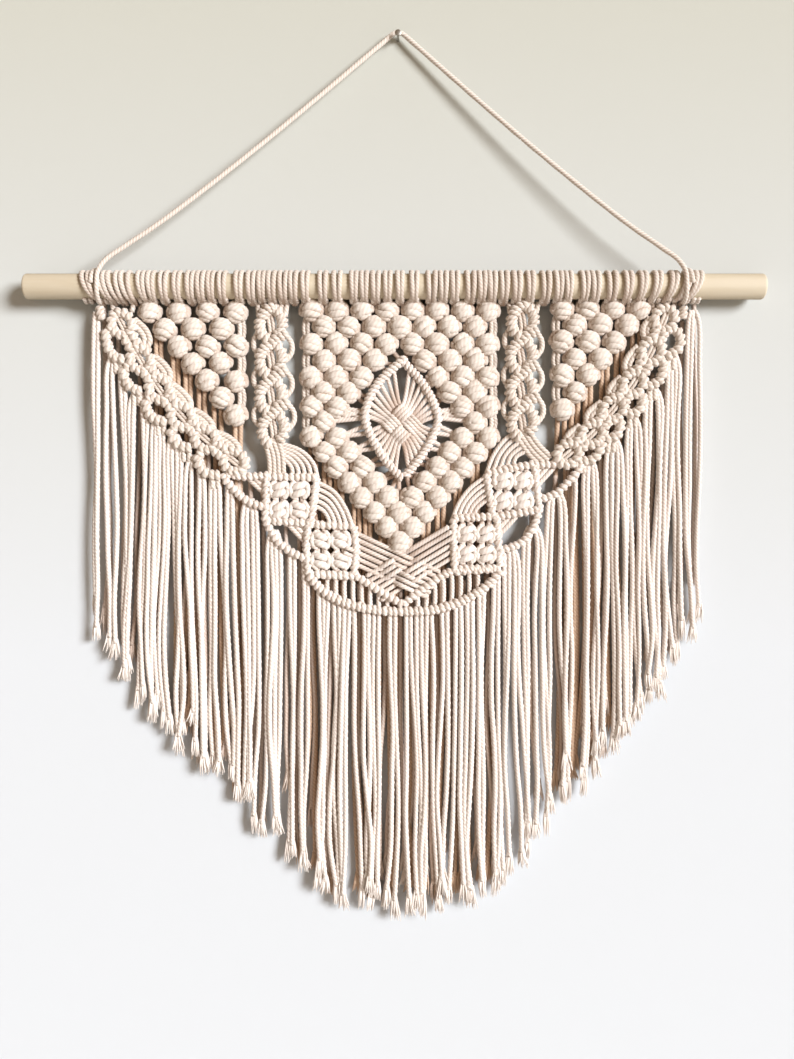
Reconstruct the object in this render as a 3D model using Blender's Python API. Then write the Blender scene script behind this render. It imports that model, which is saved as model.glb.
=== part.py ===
"""A macrame wall hanging: cotton cords knotted on a birch dowel, with a hanging cord over a nail.

The origin is on the wall, at the middle of the nail's back end. X runs to the right and Z up. The wall is
the plane y = 0, so the hanging is at y < 0. Tables hold real sizes in millimetres: x to the right of the
nail, drop below the nail, and out, the distance in front of the wall.
"""

import math

import bmesh
import bpy
from mathutils import Vector

MM = 0.001

# Dowel, nail and hanging cord
DOWEL_LENGTH = 650.0
DOWEL_RADIUS = 11.0
DOWEL_X = -3.0
DOWEL_DROP = 225.0
DOWEL_OUT = 16.5
DOWEL_SIDES = 32
DOWEL_CHAMFER = 1.2
NAIL_SHANK_RADIUS = 1.2
NAIL_HEAD_RADIUS = 2.8
NAIL_SHANK_OUT = 13.0
NAIL_HEAD_THICK = 1.2
NAIL_SIDES = 16
HANGER_RADIUS = 2.0

# Knotted cloth, measured out from the wall
CORD = 5.0
PANEL_BACK = 5.5
PANEL_FRONT = 12.5
BOBBLE_FRONT = 20.0
BORDER_BACK = 10.0
BORDER_FRONT = 16.5
LIFT = 0.2  # between cords that cross, so that no two faces lie in one plane

# Bobbles, in rows that are set half a pitch apart
BOBBLE_PITCH = 22.3
BOBBLE_HALF_WIDTH = 10.2
BOBBLE_HALF_HEIGHT = 8.3
BOBBLE_CAP = 0.55  # the flat top's share of a bobble's width and height
KNOT_RIM = 0.55  # how far up a single knot its rim is
KNOT_TUCK = 0.96  # a single knot's share of its width at the back

FLATTEN_DEGREES = 1.5  # faces of a fused solid that are flatter than this are merged

COTTON = (0.84, 0.78, 0.70, 1.0)
BIRCH = (0.80, 0.70, 0.52, 1.0)
STEEL = (0.55, 0.55, 0.56, 1.0)


def clear_scene():
    for item in list(bpy.data.objects):
        bpy.data.objects.remove(item, do_unlink=True)


def finish_of(name, colour, roughness, metallic=0.0):
    material = bpy.data.materials.new(name)
    material.use_nodes = True
    shader = material.node_tree.nodes["Principled BSDF"]
    shader.inputs["Base Color"].default_value = colour
    shader.inputs["Roughness"].default_value = roughness
    shader.inputs["Metallic"].default_value = metallic
    return material


def spot(x, drop, out):
    """A point from millimetres right of, below and out from the nail."""
    return Vector((x, -out, -drop)) * MM


def between(table, x):
    """The second column of a table of rows that rise in the first, at x."""
    for (x0, y0), (x1, y1) in zip(table, table[1:]):
        if x <= x1:
            share = max(0.0, (x - x0) / (x1 - x0))
            return y0 + (y1 - y0) * share
    return table[-1][1]


class Shell:
    """Closed skins of one piece, gathered as points and faces."""

    def __init__(self):
        self.points = []
        self.faces = []

    def point(self, x, drop, out):
        self.points.append(spot(x, drop, out))
        return len(self.points) - 1

    def mesh(self, name):
        data = bpy.data.meshes.new(name)
        data.from_pydata(self.points, [], self.faces)
        work = bmesh.new()
        work.from_mesh(data)
        bmesh.ops.recalc_face_normals(work, faces=work.faces)
        work.to_mesh(data)
        work.free()
        return data


def add_object(name, mesh, material):
    item = bpy.data.objects.new(name, mesh)
    item.data.materials.append(material)
    bpy.context.collection.objects.link(item)
    return item


def tube_faces(shell, rings, closed):
    """Skins rings of points, which all have the same count, and caps an open run."""
    sides = len(rings[0])
    pairs = list(zip(rings, rings[1:]))
    if closed:
        pairs.append((rings[-1], rings[0]))
    for low, high in pairs:
        for i in range(sides):
            j = (i + 1) % sides
            shell.faces.append((low[i], low[j], high[j], high[i]))
    if not closed:
        shell.faces.append(tuple(reversed(rings[0])))
        shell.faces.append(tuple(rings[-1]))


def strand(shell, route, out, width=CORD, depth=CORD, closed=False, ridge=0.0, sides=4):
    """A cord or bar along a route of (x, drop) rows, with its edge to the front.

    With three sides its back is flat; ridge makes every other ring slimmer.
    """
    rings = []
    count = len(route)
    for i, (x, drop) in enumerate(route):
        before = route[i - 1] if i > 0 or closed else route[i]
        after = route[(i + 1) % count] if i < count - 1 or closed else route[i]
        along = Vector((after[0] - before[0], after[1] - before[1])).normalized()
        slim = 1.0 - ridge * (i % 2)
        side_x = -along.y * width / 2 * slim
        side_drop = along.x * width / 2 * slim
        middle = out[i] if isinstance(out, (list, tuple)) else out
        flat = depth / 2 if sides == 3 else 0.0
        ring = [
            shell.point(x + side_x, drop + side_drop, middle - flat * slim),
            shell.point(x, drop, middle + depth / 2 * slim),
            shell.point(x - side_x, drop - side_drop, middle - flat * slim),
        ]
        if sides == 4:
            ring.append(shell.point(x, drop, middle - depth / 2 * slim))
        rings.append(ring)
    tube_faces(shell, rings, closed)


def along_route(route, step):
    """Points about a step apart on a route of (x, drop) rows."""
    lengths = [math.dist(a, b) for a, b in zip(route, route[1:])]
    total = sum(lengths)
    count = max(1, round(total / step))
    points = []
    for n in range(count + 1):
        left = total * n / count
        for (a, b), size in zip(zip(route, route[1:]), lengths):
            if left <= size + 1e-9:
                share = left / size
                points.append((a[0] + (b[0] - a[0]) * share, a[1] + (b[1] - a[1]) * share))
                break
            left -= size
    return points


def lump(shell, x, drop, half_width, half_height, back, front, turn=0.0, sides=8):
    """A knot as a low dome, raised in its face's points: a flat top on eight sides, a peak on six."""
    ring_back = []
    ring_mid = []
    rim = back + (front - back) * KNOT_RIM
    for k in range(sides):
        angle = math.radians(180 / sides + 360 / sides * k)
        a, b = half_width * math.cos(angle), half_height * math.sin(angle)
        px = a * math.cos(turn) - b * math.sin(turn)
        pd = a * math.sin(turn) + b * math.cos(turn)
        ring_back.append(shell.point(x + px * KNOT_TUCK, drop + pd * KNOT_TUCK, back))
        ring_mid.append(shell.point(x + px, drop + pd, rim))
    shell.faces.append(tuple(ring_back))
    for k in range(sides):
        j = (k + 1) % sides
        shell.faces.append((ring_back[k], ring_back[j], ring_mid[j], ring_mid[k]))
    if sides == 6:
        peak = shell.point(x, drop, front)
        for k in range(sides):
            shell.faces.append((ring_mid[k], ring_mid[(k + 1) % sides], peak))
        return
    cap = []
    for k in range(4):
        a = (shell.points[ring_mid[2 * k]] + shell.points[ring_mid[2 * k + 1]]) / 2 / MM
        cap.append(
            shell.point(x + (a.x - x) * BOBBLE_CAP, drop + (-a.z - drop) * BOBBLE_CAP, front)
        )
    shell.faces.append(tuple(cap))
    for k in range(4):
        i, j, m = 2 * k, 2 * k + 1, (2 * k + 2) % 8
        shell.faces.append((ring_mid[i], ring_mid[j], cap[k]))
        shell.faces.append((ring_mid[j], ring_mid[m], cap[(k + 1) % 4], cap[k]))


def bobble_lattice(shell, nodes):
    """Bobbles joined by short cords to the bobbles diagonally below them, as one skin with open gaps.

    nodes maps (row, half-pitch column) to (x, drop).
    """
    rings = {}
    for key, (x, drop) in nodes.items():
        back, front, cap = [], [], []
        for k in range(8):
            angle = math.radians(22.5 + 45 * k)
            px = x + BOBBLE_HALF_WIDTH * math.cos(angle)
            pd = drop + BOBBLE_HALF_HEIGHT * math.sin(angle)
            back.append(shell.point(px, pd, PANEL_BACK))
            front.append(shell.point(px, pd, PANEL_FRONT))
        for k in range(4):
            angle = math.radians(45 + 90 * k)
            cap.append(
                shell.point(
                    x + BOBBLE_HALF_WIDTH * BOBBLE_CAP * math.cos(angle),
                    drop + BOBBLE_HALF_HEIGHT * BOBBLE_CAP * math.sin(angle),
                    BOBBLE_FRONT,
                )
            )
        rings[key] = (back, front)
        shell.faces.append(tuple(back))
        shell.faces.append(tuple(cap))
        for k in range(4):
            i, j, m = 2 * k, 2 * k + 1, (2 * k + 2) % 8
            shell.faces.append((front[i], front[j], cap[k]))
            shell.faces.append((front[j], front[m], cap[(k + 1) % 4], cap[k]))
    linked = set()
    for row, column in nodes:
        for step, edge in ((1, 0), (-1, 2)):
            other = (row + 1, column + step)
            if other not in nodes:
                continue
            # ring edge 0-1 faces down and right, 2-3 down and left; 4-5 and 6-7 face back up
            (back_a, front_a), (back_b, front_b) = rings[(row, column)], rings[other]
            i, j = edge, edge + 1
            p, q = (edge + 5) % 8, (edge + 4) % 8
            shell.faces.append((front_a[i], front_a[j], front_b[q], front_b[p]))
            shell.faces.append((back_a[i], back_a[j], back_b[q], back_b[p]))
            shell.faces.append((front_a[i], back_a[i], back_b[p], front_b[p]))
            shell.faces.append((front_a[j], back_a[j], back_b[q], front_b[q]))
            linked.add(((row, column), edge))
            linked.add((other, (edge + 4) % 8))
    for key, (back, front) in rings.items():
        for k in range(8):
            if (key, k) not in linked:
                j = (k + 1) % 8
                shell.faces.append((back[k], back[j], front[j], front[k]))


def fused(name, shell_parts, material):
    """One object from several skins that cross: all but the last are gathered, then a union joins them."""
    whole = Shell()
    for part in shell_parts[:-1]:
        base = len(whole.points)
        whole.points += part.points
        whole.faces += [tuple(i + base for i in face) for face in part.faces]
    item = add_object(name, whole.mesh(name), material)
    last = add_object(name + "_last", shell_parts[-1].mesh(name + "_last"), material)
    last.hide_render = True
    last.display_type = "WIRE"
    union = item.modifiers.new("union", "BOOLEAN")
    union.operation = "UNION"
    union.object = last
    union.use_self = True
    flatten = item.modifiers.new("flatten", "DECIMATE")
    flatten.decimate_type = "DISSOLVE"
    flatten.angle_limit = math.radians(FLATTEN_DEGREES)
    return item


# ---------------------------------------------------------------- dowel, nail, hanging cord


def turned(name, profile, sides, start, axis, material):
    """A solid of revolution from (along, radius) rows, all in millimetres."""
    work = bmesh.new()
    across = Vector((0, 0, 1))
    other = axis.cross(across)
    rings = []
    for along, radius in profile:
        ring = []
        for k in range(sides):
            angle = 2 * math.pi * k / sides
            place = start + axis * along * MM
            place = place + (across * math.cos(angle) + other * math.sin(angle)) * radius * MM
            ring.append(work.verts.new(place))
        rings.append(ring)
    for low, high in zip(rings, rings[1:]):
        for k in range(sides):
            j = (k + 1) % sides
            work.faces.new((low[k], low[j], high[j], high[k]))
    work.faces.new(rings[0])
    work.faces.new(rings[-1])
    bmesh.ops.recalc_face_normals(work, faces=work.faces)
    mesh = bpy.data.meshes.new(name)
    work.to_mesh(mesh)
    work.free()
    item = add_object(name, mesh, material)
    mesh.shade_smooth()
    mesh.set_sharp_from_angle(angle=math.radians(40))
    return item


def make_dowel(material):
    end = DOWEL_CHAMFER
    profile = [
        (0, DOWEL_RADIUS - end),
        (end, DOWEL_RADIUS),
        (DOWEL_LENGTH - end, DOWEL_RADIUS),
        (DOWEL_LENGTH, DOWEL_RADIUS - end),
    ]
    start = spot(DOWEL_X - DOWEL_LENGTH / 2, DOWEL_DROP, DOWEL_OUT)
    turned("dowel", profile, DOWEL_SIDES, start, Vector((1, 0, 0)), material)


def make_nail(material):
    head = NAIL_SHANK_OUT
    profile = [
        (0, NAIL_SHANK_RADIUS),
        (head, NAIL_SHANK_RADIUS),
        (head, NAIL_HEAD_RADIUS),
        (head + NAIL_HEAD_THICK, NAIL_HEAD_RADIUS),
    ]
    turned("wall_nail", profile, NAIL_SIDES, Vector((0, 0, 0)), Vector((0, -1, 0)), material)


# The hanging cord winds round the dowel at each end and passes over the nail
HANGER_LEAVES = (-261.0, 250.0)  # x where each leg leaves the dowel
HANGER_TURN_PITCH = 5.4
HANGER_WIND = 13.95  # the winding's radius at the middle of the cord
HANGER_WIND_STEP = 36  # degrees
HANGER_WIND_STEPS = 10
HANGER_START = 2  # degrees round the dowel from straight out, where a leg leaves it
HANGER_OUT = 6.5
HANGER_BEND = 8.0  # over the nail
HANGER_TOP = 3.6  # of the cord's middle over the nail's middle
HANGER_PARTS = 2  # of each stretch between two rows of the route
# share of each leg's length, and how far its x lags behind, as it clears the heading
HANGER_LEG = [(0.04, 0.038), (0.085, 0.06), (0.14, 0.05), (0.24, 0.025), (0.55, 0.0), (0.96, 0.0)]
HANGER_OVER = 5  # rows of the bend over the nail


def blend(a, b, start, end, t):
    """The point that is at a when t is start and at b when t is end."""
    return (a * (end - t) + b * (t - start)) / (end - start)


def smooth_points(rows, parts):
    """A centripetal Catmull-Rom curve through rows of numbers, with as many parts in each stretch."""
    rows = [Vector(row) for row in rows]
    rows = [rows[0] * 2 - rows[1]] + rows + [rows[-1] * 2 - rows[-2]]
    points = []
    for four in zip(rows, rows[1:], rows[2:], rows[3:]):
        knots = [0.0]
        for a, b in zip(four, four[1:]):
            knots.append(knots[-1] + math.sqrt((b - a).length))
        for n in range(parts):
            t = knots[1] + (knots[2] - knots[1]) * n / parts
            near = [blend(a, b, *span, t) for a, b, *span in zip(four, four[1:], knots, knots[1:])]
            wide = [blend(a, b, *span, t) for a, b, *span in zip(near, near[1:], knots, knots[2:])]
            points.append(blend(*wide, knots[1], knots[2], t))
    points.append(rows[-2])
    return points


def hanger_leg(x_leaves, side):
    """Rows of x, drop, out from the cord's hidden end round the dowel and off towards the nail."""
    rows = []
    for n in range(HANGER_WIND_STEPS + 1):
        turned_by = HANGER_WIND_STEP * (n - HANGER_WIND_STEPS)
        angle = math.radians(turned_by + HANGER_START)
        rows.append(
            (
                x_leaves - side * HANGER_TURN_PITCH * turned_by / 360,
                DOWEL_DROP - HANGER_WIND * math.sin(angle),
                DOWEL_OUT + HANGER_WIND * math.cos(angle),
            )
        )
    last = rows[-1]
    top = over_nail(side * math.atan2(DOWEL_DROP, abs(x_leaves)))
    for share, lag in HANGER_LEG:
        rows.append(
            (
                last[0] + (top[0] - last[0]) * (share - lag),
                last[1] + (top[1] - last[1]) * share,
                last[2] + (top[2] - last[2]) * share,
            )
        )
    return rows


def over_nail(angle):
    """A row of the bend over the nail, at an angle from its top."""
    return (
        HANGER_BEND * math.sin(angle),
        HANGER_BEND - HANGER_TOP - HANGER_BEND * math.cos(angle),
        HANGER_OUT,
    )


def hanger_route():
    left = hanger_leg(HANGER_LEAVES[0], -1)
    right = hanger_leg(HANGER_LEAVES[1], 1)
    rise_left = math.atan2(DOWEL_DROP, -HANGER_LEAVES[0])
    rise_right = math.atan2(DOWEL_DROP, HANGER_LEAVES[1])
    turn = (rise_left + rise_right) / (HANGER_OVER - 1)
    over = [over_nail(turn * n - rise_left) for n in range(HANGER_OVER)]
    return smooth_points(left + over + right[::-1], HANGER_PARTS)


def make_hanger(material):
    route = hanger_route()
    curve = bpy.data.curves.new("hanging_cord", "CURVE")
    curve.dimensions = "3D"
    line = curve.splines.new("POLY")
    line.points.add(len(route) - 1)
    for point, row in zip(line.points, route):
        point.co = (*spot(*row), 1.0)
    curve.bevel_depth = HANGER_RADIUS * MM
    curve.bevel_resolution = 2
    curve.use_fill_caps = True
    add_object("hanging_cord", curve, material)


# ---------------------------------------------------------------- heading

HEADING_LEFT = -256.6
HEADING_RIGHT = 245.6
HEADING_KNOTS = 38
HEADING_INNER = 11.8  # of a bore with sixteen flats, clear of the dowel
HEADING_CREST = 16.2
HEADING_VALLEY = 14.2
HEADING_BACK = 15.2
HEADING_PINCH = 13.3  # along the top and bottom, where the cords tuck in
HEADING_FRONT_ANGLES = [-90, -42, 6, 52, 90]  # degrees round the dowel, from straight out upwards
HEADING_BACK_ANGLES = [125, 160, 200, 235]
BORE_SIDES = 16
BORE_SPARE = 10  # of the bore's cutter past each end


def make_heading(material):
    """Lark's heads as one ribbed sleeve round the dowel: ribs in front, plain behind."""
    shell = Shell()
    columns = 2 * HEADING_KNOTS + 1
    fronts = []
    for n in range(columns):
        x = HEADING_LEFT + (HEADING_RIGHT - HEADING_LEFT) * n / (columns - 1)
        crest = HEADING_CREST if n % 2 else HEADING_VALLEY
        rim = [crest if abs(a) < 90 else HEADING_PINCH for a in HEADING_FRONT_ANGLES]
        fronts.append([shell.point(x, *heading_rim(r, a)) for r, a in zip(rim, HEADING_FRONT_ANGLES)])
    for a, b in zip(fronts, fronts[1:]):
        for i in range(len(HEADING_FRONT_ANGLES) - 1):
            shell.faces.append((a[i], b[i], b[i + 1], a[i + 1]))
    backs = []
    for x in (HEADING_LEFT, HEADING_RIGHT):
        backs.append([shell.point(x, *heading_rim(HEADING_BACK, a)) for a in HEADING_BACK_ANGLES])
    first, last = backs
    for i in range(len(HEADING_BACK_ANGLES) - 1):
        shell.faces.append((first[i], last[i], last[i + 1], first[i + 1]))
    shell.faces.append(tuple([row[-1] for row in fronts] + [last[0], first[0]]))
    shell.faces.append(tuple([row[0] for row in fronts] + [last[-1], first[-1]]))
    shell.faces.append(tuple(fronts[0] + first))
    shell.faces.append(tuple(fronts[-1] + last))
    item = add_object("heading", shell.mesh("heading"), material)
    bore = turned(
        "heading_bore",
        [(0, HEADING_INNER), (HEADING_RIGHT - HEADING_LEFT + 2 * BORE_SPARE, HEADING_INNER)],
        BORE_SIDES,
        spot(HEADING_LEFT - BORE_SPARE, DOWEL_DROP, DOWEL_OUT),
        Vector((1, 0, 0)),
        material,
    )
    bore.hide_render = True
    bore.display_type = "WIRE"
    cut = item.modifiers.new("bore", "BOOLEAN")
    cut.operation = "DIFFERENCE"
    cut.object = bore


def heading_rim(radius, degrees):
    """Drop and out of a point round the dowel's middle, from straight out upwards."""
    angle = math.radians(degrees)
    return DOWEL_DROP - radius * math.sin(angle), DOWEL_OUT + radius * math.cos(angle)


# ---------------------------------------------------------------- bobble panels

PANEL_TOP = 245.8  # the first row's middle
CENTRE_X = 1.5
ROW_PITCH = 13.6
# outer and inner ends of each row, in pitches to either side of the middle
CENTRE_ROWS = [
    (3.5, 0.5),
    (3.0, 0.0),
    (3.5, 0.5),
    (3.0, 1.0),
    (3.5, 1.5),
    (3.0, 2.0),
    (3.5, 2.5),
    (3.0, 3.0),
    (3.5, 2.5),
    (3.0, 2.0),
    (2.5, 1.5),
    (2.0, 1.0),
    (1.5, 0.5),
    (1.0, 0.0),
    (0.5, 0.5),
    (0.0, 0.0),
]
# bobbles in each row of a corner panel, counted from its straight inner edge
CORNER_ROWS = [4, 3, 3, 2, 2, 1, 1]
# x of the straight edge's bobbles, direction of the rows, pitch and row pitch
CORNERS = {
    "left_corner_panel": (-143.5, -1, 25.2, 15.2),
    "right_corner_panel": (145.0, 1, 22.9, 14.9),
}
CORNER_FALL = 2.0  # of a corner panel's first row below the centre panel's
EDGE_CORD = 6.0
EDGE_BOW = 3.6  # of an edge cord past its bobbles' middles


def centre_nodes():
    nodes = {}
    for row, (outer, inner) in enumerate(CENTRE_ROWS):
        half = outer
        while half >= inner - 1e-6:
            for side in (-1, 1):
                x = CENTRE_X + side * half * BOBBLE_PITCH
                nodes[(row, round(side * half * 2))] = (x, PANEL_TOP + ROW_PITCH * row)
            half -= 1.0
    return nodes


def edge_cords(shell, nodes, side):
    """Cords that run down a panel's straight edge from a bobble to the next but one."""
    ends = {}
    for (row, column), (x, drop) in nodes.items():
        if row not in ends or side * column > side * ends[row][0]:
            ends[row] = (column, x, drop)
    furthest = max(side * column for column, _, _ in ends.values())
    rows = sorted(row for row, (column, _, _) in ends.items() if side * column == furthest)
    for row, other in zip(rows, rows[1:]):
        if other - row > 2:
            continue
        (_, x0, d0), (_, x1, d1) = ends[row], ends[other]
        bow = side * EDGE_BOW
        route = [(x0 + bow, d0 + 3), (x0 + bow * 1.3, (d0 + d1) / 2), (x1 + bow, d1 - 3)]
        out = (PANEL_BACK + PANEL_FRONT) / 2 + 2 * LIFT
        strand(shell, route, out, EDGE_CORD, EDGE_CORD, sides=3)


def make_corner_panel(name, material):
    edge, side, pitch, row_pitch = CORNERS[name]
    nodes = {}
    for row, count in enumerate(CORNER_ROWS):
        for n in range(count):
            half = n + (0.5 if row % 2 else 0.0)
            nodes[(row, side * round(half * 2))] = (
                edge + side * half * pitch,
                PANEL_TOP + CORNER_FALL + row_pitch * row,
            )
    lattice, cords = Shell(), Shell()
    bobble_lattice(lattice, nodes)
    edge_cords(cords, nodes, -side)
    fused(name, [lattice, cords], material)


# The half-hitch diamond in the middle of the centre panel
DIAMOND_RIDGE = [
    (4, 288), (-13, 312), (-28, 340), (-17, 365), (3, 390), (20, 365), (35, 338), (22, 312),
]
RIDGE_WIDTH = 7.5
RIDGE_DEPTH = 8.0
RIDGE_STEP = 9.0
RIDGE_VALLEY = 0.18
DIAMOND_OUT = 13.0
DIAMOND_HEART = (4.0, 342.0)
# Its bundles of three cords cross at the heart
WEAVE_SPREAD = 9.0  # between a bundle's cords at the ridge
WEAVE_PINCH = 5.4  # and at the heart
WEAVE_LIFT = 2.7
WEAVE_ENDS = (22.0, 24.0)  # from the heart, across and down
WEAVE_NEAR = 9.0
# Pairs of cords from its side points to the bobbles beside them
SIDE_CORD = 4.6
# Short cords that hold its top and bottom points: x and drop of the far end, drop at the ridge
POINT_CORDS = [(-9, 277, 292), (12, 277, 293), (-8, 405, 386), (12, 405, 387)]


def closed_along(route, step):
    """Points about a step apart round a closed route, an even number of them."""
    points = []
    for a, b in zip(route, route[1:] + route[:1]):
        count = max(2, 2 * round(math.dist(a, b) / step / 2))
        for n in range(count):
            points.append((a[0] + (b[0] - a[0]) * n / count, a[1] + (b[1] - a[1]) * n / count))
    return points


def make_centre_panel(material):
    lattice, ridge, cords = Shell(), Shell(), Shell()
    nodes = centre_nodes()
    bobble_lattice(lattice, nodes)
    edge_cords(cords, nodes, -1)
    edge_cords(cords, nodes, 1)
    route = closed_along(DIAMOND_RIDGE, RIDGE_STEP)
    strand(ridge, route, DIAMOND_OUT, RIDGE_WIDTH, RIDGE_DEPTH, closed=True, ridge=RIDGE_VALLEY)
    heart_x, heart_drop = DIAMOND_HEART
    across, down = WEAVE_ENDS
    for lean, lift in ((1, WEAVE_LIFT), (-1, -WEAVE_LIFT)):
        for n in (-1, 0, 1):
            spread = WEAVE_SPREAD * n
            pinch = WEAVE_PINCH * n
            route = [
                (heart_x - lean * (across - spread * 0.75), heart_drop - down - spread * 1.1),
                (heart_x - lean * (WEAVE_NEAR - pinch), heart_drop - WEAVE_NEAR - pinch),
                (heart_x + lean * (WEAVE_NEAR + pinch), heart_drop + WEAVE_NEAR - pinch),
                (heart_x + lean * (across + spread * 0.75), heart_drop + down - spread * 1.1),
            ]
            out = [DIAMOND_OUT, DIAMOND_OUT + lift, DIAMOND_OUT + lift, DIAMOND_OUT]
            strand(cords, route, out, width=6.2, depth=5.0, sides=3)
    for side, x in ((-1, DIAMOND_RIDGE[2][0]), (1, DIAMOND_RIDGE[6][0])):
        for fall in (-1, 1):
            x_far = CENTRE_X + side * 3 * BOBBLE_PITCH
            route = [
                (x - side * 2, 340),
                (x + side * 12, 340 + fall * 7),
                (x_far - side * 8, 341 + fall * 3),
            ]
            strand(cords, route, DIAMOND_OUT - 2 + 1.5 * LIFT * fall, SIDE_CORD, SIDE_CORD, sides=3)
    for x_far, drop_far, drop_near in POINT_CORDS:
        strand(cords, [(x_far, drop_far), (3.5, drop_near)], DIAMOND_OUT - 2.3, 5.4, 4.8, sides=3)
    fused("centre_panel", [lattice, ridge, cords], material)


# ---------------------------------------------------------------- knotted border

BORDER_OUT = (BORDER_BACK + BORDER_FRONT) / 2
BORDER_TOP = 242.0
BAR_WIDTH = 7.4
BAR_DEPTH = 7.6
BAR_STEP = 14.0
BAR_RIDGE = 0.16
OVAL_HALF_WIDTH = 10.6
OVAL_HALF_LENGTH = 15.5
OVAL_TURN = 0.55  # radians from upright
OVAL_RISE = 1.2  # of an oval past the border's front
COIL = 6.2  # the hitched coils beside the ovals
EYE_HALF_WIDTH = 6.4  # of a braid's eye, at the middle of its cord
EYE_HALF_HEIGHT = 9.6
EYE_SIDES = 6
EYE_CORD = 6.8
KNOT_HALF_WIDTH = 9.8  # of a square knot
KNOT_HALF_HEIGHT = 10.2
KNOT_RISE = 0.6
THIN_CORD = 5.0  # single cords beside the knots

# Each band: its ovals' middles, its outer loops and its inner loops, as (x, drop)
BANDS = {
    "left": {
        "ovals": [(-244, 259), (-228, 287), (-211, 313), (-190, 340), (-167, 361), (-144, 381)],
        "lean": 1,
        "start": [(-263, 241.8), (-263, 254), (-258, 266)],
        "outer": [
            [(-262, 252), (-260, 270), (-256, 281), (-249, 290), (-236, 290)],
            [(-243, 293), (-240, 306), (-233, 317), (-219, 318)],
            [(-225, 319), (-222, 332), (-215, 341), (-198, 345)],
            [(-203, 344), (-200, 356), (-193, 366), (-175, 366)],
            [(-181, 367), (-177, 380), (-168, 388), (-150, 386)],
        ],
        "inner": [
            [(-240, 250), (-224, 259), (-216, 272), (-221, 286)],
            [(-224, 281), (-208, 286), (-202, 297), (-205, 310)],
            [(-208, 307), (-192, 311), (-184, 322), (-186, 336)],
            [(-187, 333), (-171, 333), (-164, 343), (-164, 357)],
            [(-165, 353), (-149, 353), (-141, 362), (-141, 376)],
        ],
    },
    "right": {
        "ovals": [(236, 255), (223, 283), (206, 310), (189, 332), (170, 354), (150, 372)],
        "lean": -1,
        "start": [(252, 241.8), (252, 254), (246, 264)],
        "outer": [
            [(252, 252), (251, 268), (246, 281), (230, 288)],
            [(236, 289), (234, 304), (228, 313), (212, 314)],
            [(219, 315), (217, 328), (211, 338), (194, 338)],
            [(202, 339), (199, 353), (192, 360), (175, 359)],
            [(181, 359), (178, 371), (171, 378), (155, 377)],
        ],
        "inner": [
            [(230, 252), (216.5, 267), (207, 281), (217, 289)],
            [(215, 286), (196, 299), (188, 311), (199, 318)],
            [(197, 314), (178, 322), (168, 333), (181, 339)],
            [(181, 336), (161, 343), (150, 353), (162, 361)],
        ],
    },
}

# Each braid: the middles of its eyes, and its foot
BRAIDS = {
    "left": {
        "eyes": [(-115, 259), (-115, 290), (-115, 322), (-113, 351)],
        "foot": [(-112, 360), (-108, 374), (-107, 391)],
    },
    "right": {
        "eyes": [(107, 256), (106, 287), (106, 317), (107, 345)],
        "foot": [(109, 352), (119, 367), (131, 379)],
    },
}

# Each framed square: the corners of its frame of half hitches, and its four knots' middle and pitch
SQUARES = [
    {
        "frame": [(-116, 392), (-72, 393), (-77, 433), (-117, 431)],
        "middle": (-96, 412.5),
        "pitch": (17.5, 18),
    },
    {
        "frame": [(-79, 434), (-39, 436), (-37, 456), (-39, 479), (-79, 478), (-81, 454)],
        "middle": (-59.5, 457),
        "pitch": (17.5, 18),
    },
    {
        "frame": [(78, 389), (120, 381), (125, 421), (84, 428)],
        "middle": (101.5, 404.5),
        "pitch": (17.5, 18),
    },
    {
        "frame": [(49, 429), (87, 427), (90, 473), (50, 476)],
        "middle": (69, 451.5),
        "pitch": (17, 18),
    },
]

# The bars round the open lenses outside the squares, and the cord that slants across each
LENSES = [
    {
        "bar": [(-114, 391), (-134, 392), (-154, 391), (-144, 404), (-132, 414), (-114, 420)],
        "cord": [(-134, 394), (-117, 409)],
    },
    {
        "bar": [(-117, 431), (-107, 448), (-95, 458), (-78, 466)],
        "cord": [(-99, 434), (-80, 453)],
    },
    {
        "bar": [(120, 382), (140, 381), (161, 382), (150, 397), (139, 407), (122, 413)],
        "cord": [(141, 382), (122, 402)],
    },
    {
        "bar": [(125, 420), (119, 438), (109, 450), (89, 458)],
        "cord": [(108, 425), (88, 446)],
    },
]

# Fans of cords: the outermost arc and the innermost one
FANS = [
    {
        "outer": [(-106, 362), (-86, 369), (-75, 380), (-71, 393)],
        "inner": [(-106, 374), (-99, 378), (-94, 384), (-93, 391)],
    },
    {
        "outer": [(-73, 396), (-57, 405), (-47, 419), (-40, 436)],
        "inner": [(-75, 417), (-66, 422), (-62, 428), (-60, 435)],
    },
    {
        "outer": [(108, 352), (96, 358), (85, 372), (78, 389)],
        "inner": [(118, 368), (110, 371), (104, 375), (102, 382)],
    },
    {
        "outer": [(79, 391), (64, 402), (54, 415), (48, 430)],
        "inner": [(81, 411), (74, 416), (69, 421), (67, 429)],
    },
]
FAN_ARCS = 3

# The chevron at the foot: its two bars, and the arc that the bottom fringe hangs from
CHEVRON_LEFT = [(-41, 478), (-18, 492), (4, 506)]
CHEVRON_RIGHT = [(52, 474), (26, 487), (4, 506)]
ARC = [
    (-79, 477), (-67, 492), (-50, 502), (-18, 510), (4, 511), (34, 509), (60, 500), (79, 488), (91, 473),
]
ARC_CORD_START = 16.0  # from the chevron's point to the first cord on each side
ARC_CORD_PITCH = 14.0
ARC_CORD_ROOM = 6.0  # a shorter cord than this isn't made
CHEVRON_POINT = 4.0
CHEVRON_END = (90.0, 476.0)


def bar(shell, route, lift):
    """A row of half hitches."""
    points = along_route(route, BAR_STEP)
    strand(shell, points, BORDER_OUT + lift, BAR_WIDTH, BAR_DEPTH, ridge=BAR_RIDGE, sides=3)


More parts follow.
